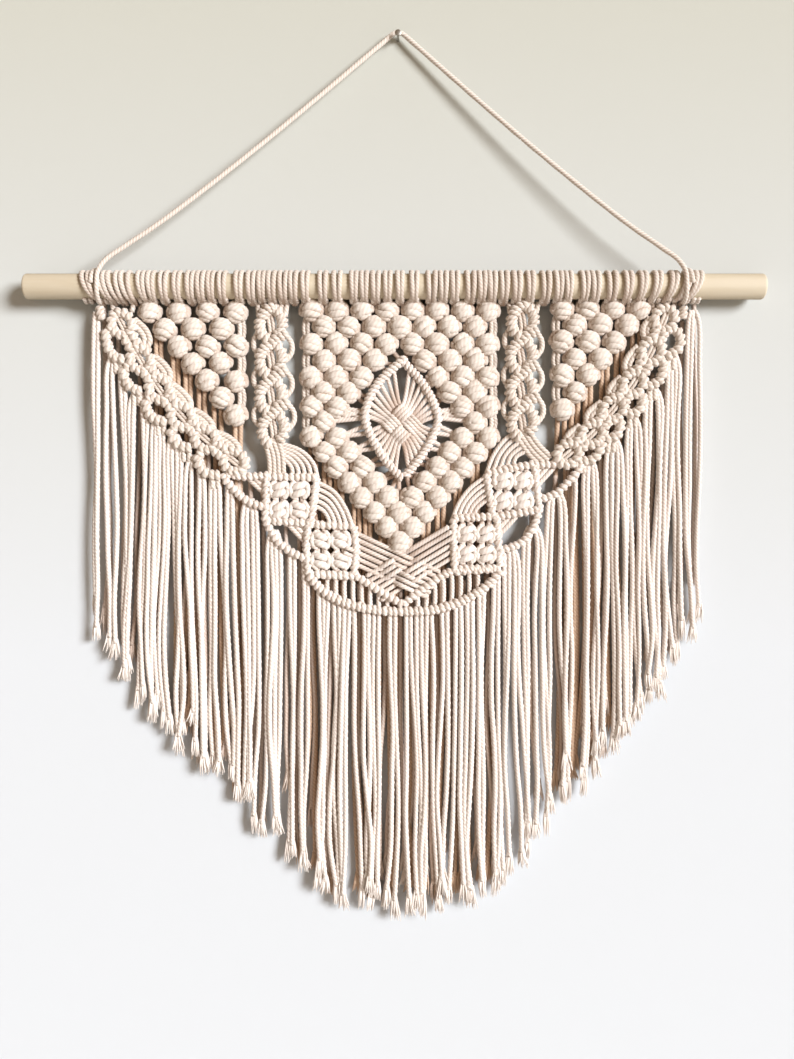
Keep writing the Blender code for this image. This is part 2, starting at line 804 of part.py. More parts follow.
def make_band(shell, band):
    strand(shell, band["start"], BORDER_OUT + 0.5, width=9.0, depth=6.5)
    size = (OVAL_HALF_WIDTH, OVAL_HALF_LENGTH)
    for place in band["ovals"]:
        turn = -band["lean"] * OVAL_TURN
        lump(shell, *place, *size, BORDER_BACK, BORDER_FRONT + OVAL_RISE, turn=turn)
    for n, loop in enumerate(band["outer"]):
        strand(shell, loop, BORDER_OUT - 0.4 + 0.15 * n, COIL, COIL + LIFT, sides=3)
    for n, loop in enumerate(band["inner"]):
        strand(shell, loop, BORDER_OUT - 0.6 + 0.15 * n, COIL - LIFT, COIL, sides=3)


def make_braid(shell, braid):
    """Eyes down the middle, a loop out to the right of each and a cord down the left between them."""
    eyes = braid["eyes"]
    first_x, first_drop = eyes[0]
    strand(shell, [(first_x - 9, BORDER_TOP), (first_x - 3, first_drop - 6)], BORDER_OUT, 9, 6)
    strand(shell, [(first_x + 11, BORDER_TOP), (first_x + 5, first_drop + 1)], BORDER_OUT + 0.3, 10, 6)
    for n, (x, drop) in enumerate(eyes):
        eye = []
        for k in range(EYE_SIDES):
            angle = 2 * math.pi * (k + 0.5) / EYE_SIDES
            eye.append((x + EYE_HALF_WIDTH * math.cos(angle), drop + EYE_HALF_HEIGHT * math.sin(angle)))
        strand(shell, eye, BORDER_OUT + 0.1 * n, EYE_CORD, EYE_CORD + 0.6, closed=True, sides=3)
    for n, ((x, drop), (x1, drop1)) in enumerate(zip(eyes, eyes[1:])):
        loop = [(x + 5, drop + 2), (x + 17, drop + 9), (x + 18.5, drop + 19), (x1 + 6, drop1 - 1)]
        strand(shell, loop, BORDER_OUT + 0.45, EYE_CORD, EYE_CORD - LIFT, sides=3)
        side = [(x - 5, drop + 7), (x - 11.5, drop + 18), (x1 - 5, drop1 + 1)]
        strand(shell, side, BORDER_OUT - 0.7, THIN_CORD, THIN_CORD - LIFT, sides=3)
    strand(shell, braid["foot"], BORDER_OUT + 0.35, width=12, depth=7)


def make_square(shell, square):
    frame = closed_along(square["frame"], BAR_STEP)
    strand(shell, frame, BORDER_OUT + 0.25, BAR_WIDTH, BAR_DEPTH, closed=True, ridge=BAR_RIDGE, sides=3)
    x, drop = square["middle"]
    across, down = square["pitch"]
    size = (KNOT_HALF_WIDTH, KNOT_HALF_HEIGHT)
    for column in (-0.5, 0.5):
        for row in (-0.5, 0.5):
            place = (x + column * across, drop + row * down)
            lump(shell, *place, *size, BORDER_BACK + KNOT_RISE, BORDER_FRONT + KNOT_RISE, sides=6)


def make_fan(shell, fan):
    for n in range(FAN_ARCS):
        share = n / (FAN_ARCS - 1)
        arc = []
        for (x0, d0), (x1, d1) in zip(fan["outer"], fan["inner"]):
            arc.append((x0 + (x1 - x0) * share, d0 + (d1 - d0) * share))
        strand(shell, arc, BORDER_OUT - 0.8 + LIFT * n, THIN_CORD, THIN_CORD - LIFT, sides=3)


def make_foot(shell):
    bar(shell, CHEVRON_LEFT, lift=0.2)
    bar(shell, CHEVRON_RIGHT, lift=0.45)
    bar(shell, ARC, lift=0.1)
    for side, route in ((-1, CHEVRON_LEFT), (1, CHEVRON_RIGHT)):
        above = sorted(route + [(side * CHEVRON_END[0], CHEVRON_END[1])])
        for n in range(4):
            x = CHEVRON_POINT + side * (ARC_CORD_START + ARC_CORD_PITCH * n)
            top, bottom = between(above, x), between(ARC, x)
            if bottom - top > ARC_CORD_ROOM:
                strand(shell, [(x, top), (x, bottom)], BORDER_OUT - 0.8, 6, 4.4, sides=3)
    # cords that cross between the two lower squares, over and under
    for n in range(3):
        left = [(-38, 447 + 11 * n), (-8, 467 + 9 * n), (38 - 12 * n, 480 + 6 * n)]
        right = [(49, 442 + 11 * n), (16, 463 + 9 * n), (-30 + 12 * n, 484 + 6 * n)]
        strand(shell, left, [BORDER_OUT, BORDER_OUT - 1.6, BORDER_OUT - 1], 5.6, 4.4, sides=3)
        strand(shell, right, [BORDER_OUT, BORDER_OUT + 3.0, BORDER_OUT + 1], 5.6, 4.4, sides=3)


def make_border(material):
    pieces = []
    for side in ("left", "right"):
        band, braid = Shell(), Shell()
        make_band(band, BANDS[side])
        make_braid(braid, BRAIDS[side])
        pieces += [band, braid]
    foot = Shell()
    for square in SQUARES:
        make_square(foot, square)
    for lens in LENSES:
        bar(foot, lens["bar"], lift=0.3)
        strand(foot, lens["cord"], BORDER_OUT - 1.0, THIN_CORD, THIN_CORD - 3 * LIFT, sides=3)
    for fan in FANS:
        make_fan(foot, fan)
    make_foot(foot)
    fused("knotted_border", [foot] + pieces, material)


# ---------------------------------------------------------------- fringe

FRINGE_WIDTH = 5.2
FRINGE_DEPTH = 3.6
FRINGE_STRIP = 4.0
FRONT_FRINGE_OUT = 9.1  # the front of its backing strip, just behind the border
BACK_FRINGE_OUT = 5.2  # the same, just behind the panels
TUFT = 26.0  # where a strand starts to taper to its loose end
# the border's lower edge, which the front fringe hangs from: x, drop
BORDER_EDGE = [
    (-268, 257), (-262, 270), (-255, 283), (-246, 293), (-238, 307), (-231, 320), (-220, 330), (-211, 345),
    (-200, 355), (-190, 369), (-178, 378), (-166, 391), (-152, 396), (-143, 407), (-131, 416), (-117, 423),
    (-113, 438), (-105, 452), (-94, 462), (-82, 469), (-79, 481), (-67, 496), (-50, 506), (-18, 514),
    (4, 515), (34, 513), (60, 504), (79, 492), (90, 478), (94, 464), (109, 455), (118, 443), (124, 426),
    (138, 411), (150, 401), (160, 388), (172, 380), (182, 367), (193, 363), (203, 347), (214, 340),
    (221, 324), (230, 315), (237, 300), (248, 284), (254, 268), (262, 258),
]
# where the loose ends hang to: x, drop
LOOSE_ENDS = [
    (-269, 526), (-252, 561), (-237, 576), (-214, 605), (-197, 627), (-179, 649), (-155, 657), (-144, 683),
    (-128, 704), (-115, 709), (-99, 723), (-78, 744), (-71, 756), (-50, 771), (-1, 776), (28, 777),
    (69, 765), (100, 747), (108, 721), (132, 702), (143, 677), (164, 667), (188, 635), (217, 599),
    (238, 575), (250, 547), (268, 514),
]
# each panel's lower edge, which the fringe behind hangs from
LEFT_PANEL_EDGE = [
    (-218, 250), (-205, 263), (-192, 283), (-179, 296), (-167, 310), (-153, 327), (-137, 338),
]
RIGHT_PANEL_EDGE = [
    (139, 338), (154, 325), (165, 311), (177, 297), (190, 281), (202, 266), (217, 250),
]
CENTRE_PANEL_EDGE = [
    (-80, 362), (-62, 384), (-40, 408), (-20, 434), (2, 452), (24, 434), (44, 408), (66, 384), (84, 362),
]
# backing line, first and last strand, strands, and True for the fringe behind the panels
FRINGES = {
    "fringe_left": (BORDER_EDGE, -266.0, -158.0, 18, False),
    "fringe_bottom": (BORDER_EDGE, -151.0, 157.0, 50, False),
    "fringe_right": (BORDER_EDGE, 164.0, 260.0, 16, False),
    "back_fringe_left": (LEFT_PANEL_EDGE, -216.0, -140.0, 12, True),
    "back_fringe_centre": (CENTRE_PANEL_EDGE, -78.0, 82.0, 25, True),
    "back_fringe_right": (RIGHT_PANEL_EDGE, 142.0, 215.0, 12, True),
}
FRONT_HANG_OUT = 12.5  # the front strands' fronts, half way down and on
BACK_SHORT = 9.0  # how much sooner the strands behind end
UNEVEN = 5.0  # how much sooner the shortest strand ends
STRAND_BEND = 0.45  # the share of a strand's length where it bends
# the strands' drift aside, in two waves: how far, phase for each mm of x, start, phase down the strand
DRIFT = [(2.2, 0.043, 0.0, 2.6), (1.1, 0.11, 1.7, 4.0)]
STIR = (0.9, 0.9, 0.0, 3.0)  # and out from the wall, in front only


def wave(row, x, share):
    """How far a strand has drifted at a share of its length."""
    size, across, start, down = row
    return size * math.sin(x * across + start + down * share) * share


def hang(x, start, end, strip_out, hang_out, share):
    """The x, drop and front of a strand at a share of its length."""
    middle = x + sum(wave(row, x, share) for row in DRIFT)
    front = strip_out + (hang_out - strip_out) * min(1.0, share * 2)
    if hang_out > strip_out:
        front += wave(STIR, x, share)
    return middle, start + (end - start) * share, front


def make_fringe(name, material):
    """Three-sided strands that grow out of the underside of a narrow strip."""
    edge, first, last, count, behind = FRINGES[name]
    strip_out = BACK_FRINGE_OUT if behind else FRONT_FRINGE_OUT
    hang_out = BACK_FRINGE_OUT if behind else FRONT_HANG_OUT
    shell = Shell()
    columns = []
    for n in range(count):
        x = first + (last - first) * n / (count - 1)
        half = FRINGE_WIDTH / 2
        root = [
            shell.point(x - half, between(edge, x - half), strip_out),
            shell.point(x + half, between(edge, x + half), strip_out),
            shell.point(x, between(edge, x), strip_out - FRINGE_DEPTH),
        ]
        top = [
            shell.point(x, between(edge, x) - FRINGE_STRIP, strip_out),
            shell.point(x, between(edge, x) - FRINGE_STRIP, strip_out - FRINGE_DEPTH),
        ]
        start = between(edge, x)
        end = between(LOOSE_ENDS, x) - UNEVEN * (0.5 + 0.5 * math.sin(n * 2.4 + x))
        if behind:
            end -= BACK_SHORT
        ring = root
        for share in (STRAND_BEND, 1.0 - TUFT / (end - start)):
            middle, drop, front = hang(x, start, end, strip_out, hang_out, share)
            lower = [
                shell.point(middle - half, drop, front),
                shell.point(middle + half, drop, front),
                shell.point(middle, drop, front - FRINGE_DEPTH),
            ]
            for k in range(3):
                j = (k + 1) % 3
                shell.faces.append((ring[k], ring[j], lower[j], lower[k]))
            ring = lower
        middle, drop, front = hang(x, start, end, strip_out, hang_out, 1.0)
        tip = shell.point(middle, drop, front - FRINGE_DEPTH * 0.4)
        for k in range(3):
            shell.faces.append((ring[k], ring[(k + 1) % 3], tip))
        columns.append(root + top)
    for (a, b, c, f, g), (a1, b1, c1, f1, g1) in zip(columns, columns[1:]):
        shell.faces += [(a, b, f), (b, a1, f1, f), (c, c1, g1, g), (f, f1, g1, g), (b, a1, c1, c)]
    a, b, c, f, g = columns[-1]
    shell.faces += [(a, b, f), (b, c, g, f)]
    a, b, c, f, g = columns[0]
    shell.faces.append((a, f, g, c))
    add_object(name, shell.mesh(name), material)


def main():
    clear_scene()
    cotton = finish_of("cotton", COTTON, 0.9)
    birch = finish_of("birch", BIRCH, 0.6)
    steel = finish_of("steel", STEEL, 0.35, 1.0)
    make_dowel(birch)
    make_nail(steel)
    make_hanger(cotton)
    make_heading(cotton)
    for name in CORNERS:
        make_corner_panel(name, cotton)
    make_centre_panel(cotton)
    make_border(cotton)
    for name in FRINGES:
        make_fringe(name, cotton)


main()
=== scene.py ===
# %% [markdown]
# # A macrame wall hanging
# Cotton cords are knotted on a birch dowel, which hangs from a nail on one more cord. A knotted cloth is
# nothing but cords, so almost every piece here is made by one small tool that lays a twisted cord along a
# curve. The knots differ only in the curves that they give it.

# %% Modules and the frame
from math import atan2, cos, pi, radians, sin

import bpy
import numpy as np
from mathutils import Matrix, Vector


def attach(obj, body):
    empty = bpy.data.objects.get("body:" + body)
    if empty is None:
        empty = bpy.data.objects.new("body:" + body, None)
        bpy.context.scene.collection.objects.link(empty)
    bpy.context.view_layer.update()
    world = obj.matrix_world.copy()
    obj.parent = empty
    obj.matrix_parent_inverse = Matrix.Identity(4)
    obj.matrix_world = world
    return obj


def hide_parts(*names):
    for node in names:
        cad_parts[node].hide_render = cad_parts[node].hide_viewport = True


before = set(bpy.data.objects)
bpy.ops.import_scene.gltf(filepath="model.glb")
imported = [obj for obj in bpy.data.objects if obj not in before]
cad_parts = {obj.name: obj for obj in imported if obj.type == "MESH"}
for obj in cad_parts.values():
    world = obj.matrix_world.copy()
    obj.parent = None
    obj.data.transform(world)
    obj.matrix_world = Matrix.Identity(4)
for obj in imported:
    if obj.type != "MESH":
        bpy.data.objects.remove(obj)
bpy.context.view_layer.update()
random = np.random.default_rng(7)
vary = random.uniform
MM = 0.001
FRONT = np.array([0.0, -1.0, 0.0])


def place(rows):
    """Rows of millimetres right of, below and out from the nail, as points of the frame, still in mm."""
    rows = np.array(rows, float)
    return np.column_stack([rows[:, 0], -rows[:, 2], -rows[:, 1]])


# %% [markdown]
# ## The camera
# The hanging is seen square on, from a little under a metre, so the camera looks along +Y with no tilt. It
# stands level with the middle of the knots, and sees some of the dowel from below.

# %% Camera
CAMERA_X, CAMERA_OUT, CAMERA_DROP = -0.9, 865.5, 438.7  # mm from the nail
camera_data = bpy.data.cameras.new("camera")
camera_data.lens = 32.8
camera = bpy.data.objects.new("camera", camera_data)
camera.location = [v * MM for v in (CAMERA_X, -CAMERA_OUT, -CAMERA_DROP)]
camera.rotation_euler = (radians(90), 0, 0)
bpy.context.collection.objects.link(camera)
bpy.context.scene.camera = camera
print("camera", tuple(round(v, 3) for v in camera.location))

# %% [markdown]
# ## The cord
# Macrame cord is three yarns twisted together. Its section is a rounded triangle that turns as it goes
# along. A round tube with a picture of a twist on it would look flat along its edge, so here the section
# itself has three crests and three hollows, and the rings of points turn with the twist. Thousands of cords
# as separate objects would be slow, so each piece gathers its cords in arrays and becomes one mesh.

# %% A smooth line through given points
CORD = 5.2  # millimetres across
TWIST = 9.6  # along the cord for one full turn
RING = 1.6  # between rings of points


def blend(a, b, start, end, t):
    """What is a when t is start and b when t is end."""
    return (a * (end - t) + b * (t - start)) / (end - start)


def curve(points, step=RING, closed=False):
    """Points a step apart on a Catmull-Rom curve through the given ones, and how far along each is."""
    points = np.asarray(points, float)
    if closed:
        padded = np.vstack([points[-1:], points, points[:2]])
    else:
        padded = np.vstack([2 * points[:1] - points[1:2], points, 2 * points[-1:] - points[-2:-1]])
    gaps = np.sqrt(np.linalg.norm(np.diff(padded, axis=0), axis=1))
    knots = np.concatenate([[0], np.cumsum(np.maximum(gaps, 1e-3))])
    shares = np.linspace(0, 1, 8, endpoint=False)[:, None]
    parts = []
    for i in range(len(padded) - 3):
        four, k = padded[i : i + 4], knots[i : i + 4]
        t = k[1] + (k[2] - k[1]) * shares
        near = [blend(four[m], four[m + 1], k[m], k[m + 1], t) for m in range(3)]
        wide = [blend(near[m], near[m + 1], k[m], k[m + 2], t) for m in range(2)]
        parts.append(blend(*wide, k[1], k[2], t))
    line = np.vstack(parts + [points[:1] if closed else points[-1:]])
    reach = np.concatenate([[0], np.cumsum(np.linalg.norm(np.diff(line, axis=0), axis=1))])
    at = np.linspace(0, reach[-1], max(3, round(reach[-1] / step) + 1))
    return np.column_stack([np.interp(at, reach, line[:, k]) for k in range(3)]), at


def unit(rows):
    return rows / np.maximum(np.linalg.norm(rows, axis=-1, keepdims=True), 1e-9)

# %% Cords gathered into one mesh
SIDES = 6
HOLLOW = 0.82  # of the crest's radius, between two yarns
VALLEY, VALLEY_RISE = 0.35, 2.5  # how light a hollow is, and how much lighter where it is shallow
TIP = 0.2  # how far a cord's end stands out, in its own widths


class Cords:
    """Twisted cords as one mesh, with a UV map round and along each and a tone for each."""

    def __init__(self):
        self.points, self.quads, self.tris = [], [], []
        self.quad_uv, self.tri_uv, self.tone, self.painted_light = [], [], [], []
        self.count, self.length = 0, 0.0

    def lay(self, points, size=CORD, flat=1.0, hollow=HOLLOW, step=RING, taper=None, tone=None, shade=1.0):
        """Lays a cord along points of the frame, in mm.

        flat squashes it front to back, hollow is how deep it is between its yarns (1 for a plain round one),
        taper scales it on its way, and shade is 0 where it lies deep among others, as a number or on its way.
        """
        line, at = curve(points, step)
        n = len(line)
        along = unit(np.gradient(line, axis=0))
        first = FRONT - along[0] * (FRONT @ along[0])
        if np.linalg.norm(first) < 0.3:
            first = np.array([1.0, 0, 0]) - along[0] * along[0][0]
        normal = np.empty_like(line)
        normal[0] = unit(first)
        for i in range(1, n):
            normal[i] = unit(normal[i - 1] - along[i] * (normal[i - 1] @ along[i]))
        across = np.cross(along, normal)
        turn = vary(0, 2 * pi) - (hollow < 1) * 2 * pi * at / TWIST
        angle = turn[:, None] + 2 * pi * np.arange(SIDES) / SIDES
        radius = np.full((n, SIDES), size / 2)
        radius[:, 1::2] *= hollow
        if taper is not None:
            radius *= np.interp(at / at[-1], np.linspace(0, 1, len(taper)), taper)[:, None]
        forward = np.cos(angle) * radius * flat
        sideways = np.sin(angle) * radius
        ring = normal[:, None] * forward[..., None] + across[:, None] * sideways[..., None]
        tips = np.array([line[0] - along[0] * size * TIP, line[-1] + along[-1] * size * TIP])
        base = self.count
        self.points += [(line[:, None] + ring).reshape(-1, 3), tips]
        k = np.arange(SIDES)
        j = (k + 1) % SIDES
        low = base + SIDES * np.arange(n - 1)[:, None]
        self.quads.append(np.stack([low + k, low + j, low + SIDES + j, low + SIDES + k], -1).reshape(-1, 4))
        top, start, end = base + SIDES * (n - 1), base + SIDES * n, base + SIDES * n + 1
        self.tris += [
            np.column_stack([np.full(SIDES, start), base + j, base + k]),
            np.column_stack([np.full(SIDES, end), top + k, top + j]),
        ]
        u0, u1, v0, v1 = np.broadcast_arrays(k / SIDES, (k + 1) / SIDES, at[:-1, None], at[1:, None])
        self.quad_uv.append(np.stack([u0, v0, u1, v0, u1, v1, u0, v1], -1).reshape(-1, 8))
        self.tri_uv += [np.tile([0.5, v] * 3, (SIDES, 1)) for v in at[[0, -1]]]
        self.tone.append(np.full(n * SIDES + 2, vary(0, 1) if tone is None else tone))
        # painted shade: hollows between the yarns are darker, and the whole cord is darker where shade is low
        valley = VALLEY + (hollow - HOLLOW) * VALLEY_RISE
        shades = np.atleast_1d(shade)
        lit = np.interp(at / at[-1], np.linspace(0, 1, len(shades)), shades)
        painted_light = np.tile([1.0, valley] * (SIDES // 2), n) * np.repeat(lit, SIDES)
        self.painted_light += [painted_light, 0.5 * lit[[0, -1]]]
        self.count += n * SIDES + 2
        self.length += at[-1]
        return line

    def run(self, rows, size=1.0, **look):
        """Lays a cord through rows of (x, drop, out). Its size is in widths of CORD."""
        self.lay(place(rows), size=CORD * size, **look)

    def piece(self, name, finish, node):
        """The gathered cords as an object that stands for this node of the frame."""
        points = np.vstack(self.points) * MM
        quads, tris = np.vstack(self.quads), np.vstack(self.tris)
        mesh = bpy.data.meshes.new(name)
        mesh.from_pydata(points.tolist(), [], quads.tolist() + tris.tolist())
        uv = np.concatenate([np.vstack(self.quad_uv).ravel(), np.vstack(self.tri_uv).ravel()])
        mesh.uv_layers.new(name="twist").data.foreach_set("uv", uv.astype(np.float32))
        for key, rows in (("tone", self.tone), ("painted_light", self.painted_light)):
            values = np.concatenate(rows).astype(np.float32)
            mesh.attributes.new(key, "FLOAT", "POINT").data.foreach_set("value", values)
        mesh.shade_smooth()
        mesh.materials.append(finish)
        item = bpy.data.objects.new(name, mesh)
        bpy.context.collection.objects.link(item)
        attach(item, "root")
        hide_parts(node)
        print(f"{name}: {self.length / 1000:.2f} m of cord, {len(quads) * 2 + len(tris)} triangles")
        return item

# %% [markdown]
# ## Cotton, birch and steel
# Undyed cotton is a warm off-white with no shine. Its fibres follow the twist, so the fine streaks read the
# UV map that the cords carry. The hollows between the yarns, and cords that lie deep among others, are
# painted darker and warmer as shade. Wood grain runs along the dowel, so it reads Object coordinates,
# squeezed along X.
# Shader maths would take dozens of lines of node calls, so a small class lets plain arithmetic write it.

# %% A socket that takes arithmetic
class Wire:
    def __init__(self, finish, socket):
        self.finish, self.socket = finish, socket

    def math(self, operation, first, second):
        return self.finish.add("ShaderNodeMath", {"operation": operation}, {0: first, 1: second})

    def __add__(self, other):
        return self.math("ADD", self, other)

    def __sub__(self, other):
        return self.math("SUBTRACT", self, other)

    def __rsub__(self, other):
        return self.math("SUBTRACT", other, self)

    def __mul__(self, other):
        return self.math("MULTIPLY", self, other)

    __radd__ = __add__
    __rmul__ = __mul__

# %% A material whose nodes come from one method
class Finish:
    def __init__(self, name, roughness, metallic=0.0):
        self.material = bpy.data.materials.new(name)
        self.material.use_nodes = True
        self.tree = self.material.node_tree
        self.shader = self.tree.nodes["Principled BSDF"]
        self.shader.inputs["Roughness"].default_value = roughness
        self.shader.inputs["Metallic"].default_value = metallic

    def add(self, kind, settings=None, sockets=None, output=0):
        """Adds a node. Settings come first, then each socket gets a value or a link."""
        node = self.tree.nodes.new(kind)
        for key, value in (settings or {}).items():
            setattr(node, key, value)
        for key, value in (sockets or {}).items():
            self.join(node.inputs[key], value)
        return Wire(self, node.outputs[output])

    def join(self, socket, value):
        if isinstance(value, Wire):
            self.tree.links.new(value.socket, socket)
        else:
            socket.default_value = value

    def mix(self, share, first, second):
        """One colour turning into another."""
        sockets = {"Factor": share, 6: first, 7: second}
        return self.add("ShaderNodeMix", {"data_type": "RGBA"}, sockets, output=2)

    def spot(self, stretch=None):
        """Object coordinates, stretched if wanted."""
        at = self.add("ShaderNodeTexCoord", output="Object")
        return self.stretch(at, stretch) if stretch else at

    def stretch(self, at, by):
        return self.add("ShaderNodeVectorMath", {"operation": "MULTIPLY"}, {0: at, 1: by})

    def noise(self, at, scale, detail):
        return self.add("ShaderNodeTexNoise", None, {"Vector": at, "Scale": scale, "Detail": detail})

    def bump(self, strength, distance, height):
        sockets = {"Strength": strength, "Distance": distance, "Height": height}
        return self.add("ShaderNodeBump", None, sockets)

    def surface(self, **sockets):
        for key, value in sockets.items():
            self.join(self.shader.inputs[key.replace("_", " ")], value)
        return self.material

# %% Cotton
def cotton(name, crest_colour, painted_shade_colour):
    finish = Finish(name, roughness=0.92)
    painted_light = finish.add("ShaderNodeAttribute", {"attribute_name": "painted_light"}, output="Fac")
    tone = finish.add("ShaderNodeAttribute", {"attribute_name": "tone"}, output="Fac")
    twist = finish.add("ShaderNodeUVMap", {"uv_map": "twist"})
    fibres = finish.noise(finish.stretch(twist, (26.0, 0.5, 1.0)), 1.0, 3.0)
    spot = finish.spot()
    patches = finish.noise(spot, 26.0, 2.0)
    fluff = finish.noise(spot, 900.0, 2.0)
    # painted shade: hollows between yarns and cords deep among others take the darker colour
    depth = painted_light * 0.8 + fibres * 0.3 + tone * 0.12 - 0.04
    colour = finish.mix(depth, (*painted_shade_colour, 1), (*crest_colour, 1))
    shade = finish.mix(patches * 0.5 - 0.12, colour, (*[c * 0.9 for c in crest_colour], 1))
    bump = finish.bump(0.55, 0.0006, fibres * 0.7 + fluff * 0.5)
    finish.surface(Sheen_Weight=0.25, Sheen_Roughness=0.6, Specular_IOR_Level=0.15)
    return finish.surface(Base_Color=shade, Normal=bump)


white_cotton = cotton("cotton", (0.855, 0.80, 0.745), (0.34, 0.205, 0.125))
# a lighter copy of the same cotton, as painted light, for the pieces that read brighter: the diamond, the
# squares, the foot and the front fringe
painted_lit_cotton = cotton("cotton_painted_lit", (0.915, 0.865, 0.825), (0.42, 0.26, 0.17))
# a darker, warmer copy of the same cotton, as painted shade, for the strands that hang behind
shaded_cotton = cotton("cotton_painted_shade", (0.72, 0.55, 0.42), (0.30, 0.17, 0.105))

# %% Birch and steel
def birch():
    finish = Finish("birch", roughness=0.55)
    spot = finish.spot((0.06, 1.0, 1.0))
    grain = finish.noise(spot, 420.0, 5.0)
    bands = finish.noise(spot, 90.0, 2.0)
    colour = finish.mix(bands, (0.58, 0.485, 0.345, 1), (0.68, 0.61, 0.485, 1))
    colour = finish.mix(grain * 0.5, colour, (0.74, 0.685, 0.58, 1))
    roughness = 0.45 + grain * 0.25
    return finish.surface(Base_Color=colour, Roughness=roughness, Normal=finish.bump(0.25, 0.0003, grain))


def steel():
    finish = Finish("steel", roughness=0.35, metallic=1.0)
    marks = finish.noise(finish.spot(), 1500.0, 3.0)
    colour = finish.mix(marks, (0.40, 0.39, 0.37, 1), (0.62, 0.61, 0.58, 1))
    return finish.surface(Base_Color=colour, Roughness=0.25 + marks * 0.3)


pale_birch, brushed_steel = birch(), steel()

# %% [markdown]
# ## The hanging cord
# One limp cord goes round the dowel at each end and over the nail. The weight holds it taut, so each leg is
# a straight line between two short curves. A curve drawn by hand would look the same, but here the points
# are worked out from the dowel and the nail, so the cord touches both wherever they are. Its own line is
# what it is measured by.

# %% The cord's line
DOWEL_DROP, DOWEL_OUT = 225.0, 16.5
HANGER = 4.0  # the cord's diameter
LEAVES = (-261.0, 250.0)  # x where each leg leaves the dowel
WIND = 13.95  # radius of the winding at the cord's middle
WIND_STEP, WIND_STEPS, WIND_PITCH = 36, 10, 5.4
WIND_FROM = 2  # degrees from straight out where the leg leaves
NAIL_BEND, NAIL_TOP, LEG_OUT = 8.0, 3.6, 6.5
# share of each leg's length, and how far its x lags behind, as it clears the heading
LEG_ROWS = ((0.04, 0.038), (0.085, 0.06), (0.14, 0.05), (0.24, 0.025), (0.55, 0), (0.96, 0))
OVER_ROWS = 5


def between(a, b, share):
    return a + (b - a) * share


def over_nail(angle):
    return NAIL_BEND * sin(angle), NAIL_BEND - NAIL_TOP - NAIL_BEND * cos(angle), LEG_OUT


def round_dowel(x, angle, radius):
    """A point round the dowel's axis, at an angle from straight out."""
    return x, DOWEL_DROP - radius * sin(angle), DOWEL_OUT + radius * cos(angle)


def leg(leaves, side):
    """From the inner end of the winding up to the nail. leaves is where it leaves the dowel."""
    rows = []
    for n in range(WIND_STEPS + 1):
        degrees = WIND_STEP * (n - WIND_STEPS)
        x = leaves - side * WIND_PITCH * degrees / 360
        rows.append(round_dowel(x, radians(degrees + WIND_FROM), WIND))
    last, top = np.array(rows[-1]), np.array(over_nail(side * atan2(DOWEL_DROP, abs(leaves))))
    for share, lag in LEG_ROWS:
        rows.append(tuple(between(last, top, np.array([share - lag, share, share]))))
    return rows

# %% The cord laid and measured
rises = [atan2(DOWEL_DROP, abs(x)) for x in LEAVES]
over = [over_nail(turn) for turn in np.linspace(-rises[0], rises[1], OVER_ROWS)]
hanger_rows = leg(LEAVES[0], -1) + over + leg(LEAVES[1], 1)[::-1]
hanger = Cords()
hanger_line = hanger.lay(place(hanger_rows), size=HANGER * 1.2, step=1.5, tone=0.8)
hanging_cord = hanger.piece("hanging_cord_twisted", white_cotton, "hanging_cord")

# %% [markdown]
# ## The dowel and the nail
# The dowel is a birch rod with softly rounded ends, and the nail a plain wire nail with a thin round head.
# An outline could be spun for each, but both are nearly cylinders. So each starts as one at its size and
# place. The dowel's end edges are bevelled in edit mode, and the nail's head is extruded from its shank.

# %% Modelling helpers
def pick(item, mode, wanted):
    """In edit mode, selects the edges or faces whose middle wanted() likes."""
    mesh = item.data
    for part in (mesh.vertices, mesh.edges, mesh.polygons):
        part.foreach_set("select", [False] * len(part))
    for part in mesh.edges if mode == "EDGE" else mesh.polygons:
        part.select = wanted(sum((mesh.vertices[i].co for i in part.vertices), Vector()) / len(part.vertices))
    bpy.ops.object.mode_set(mode="EDIT")
    bpy.ops.mesh.select_mode(type=mode)


def rod(name, radius, length, middle, turn, sides):
    """A cylinder added lying or standing, as an active mesh object."""
    bpy.ops.object.select_all(action="DESELECT")
    bpy.ops.mesh.primitive_cylinder_add(
        vertices=sides, radius=radius * MM, depth=length * MM, location=Vector(middle) * MM, rotation=turn
    )
    item = bpy.context.object
    item.name = item.data.name = name
    bpy.ops.object.transform_apply(location=True, rotation=True, scale=True)
    return item


def finish_piece(item, material, node):
    bpy.ops.object.mode_set(mode="OBJECT")
    bpy.ops.object.shade_smooth_by_angle(angle=radians(35))
    item.data.materials.append(material)
    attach(item, "root")
    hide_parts(node)
    print(f"{item.name}: {len(item.data.polygons)} faces")

# %% The dowel
DOWEL_LENGTH, DOWEL_RADIUS, DOWEL_X = 650.0, 11.0, -3.0
dowel_middle = (DOWEL_X, -DOWEL_OUT, -DOWEL_DROP)
dowel = rod("birch_dowel", DOWEL_RADIUS, DOWEL_LENGTH, dowel_middle, (0, pi / 2, 0), 64)
ends = [v * MM for v in (DOWEL_X - DOWEL_LENGTH / 2, DOWEL_X + DOWEL_LENGTH / 2)]
pick(dowel, "EDGE", lambda middle: min(abs(middle.x - end) for end in ends) < 1e-5)
bpy.ops.mesh.bevel(offset=0.0024, segments=5, affect="EDGES")
finish_piece(dowel, pale_birch, "dowel")

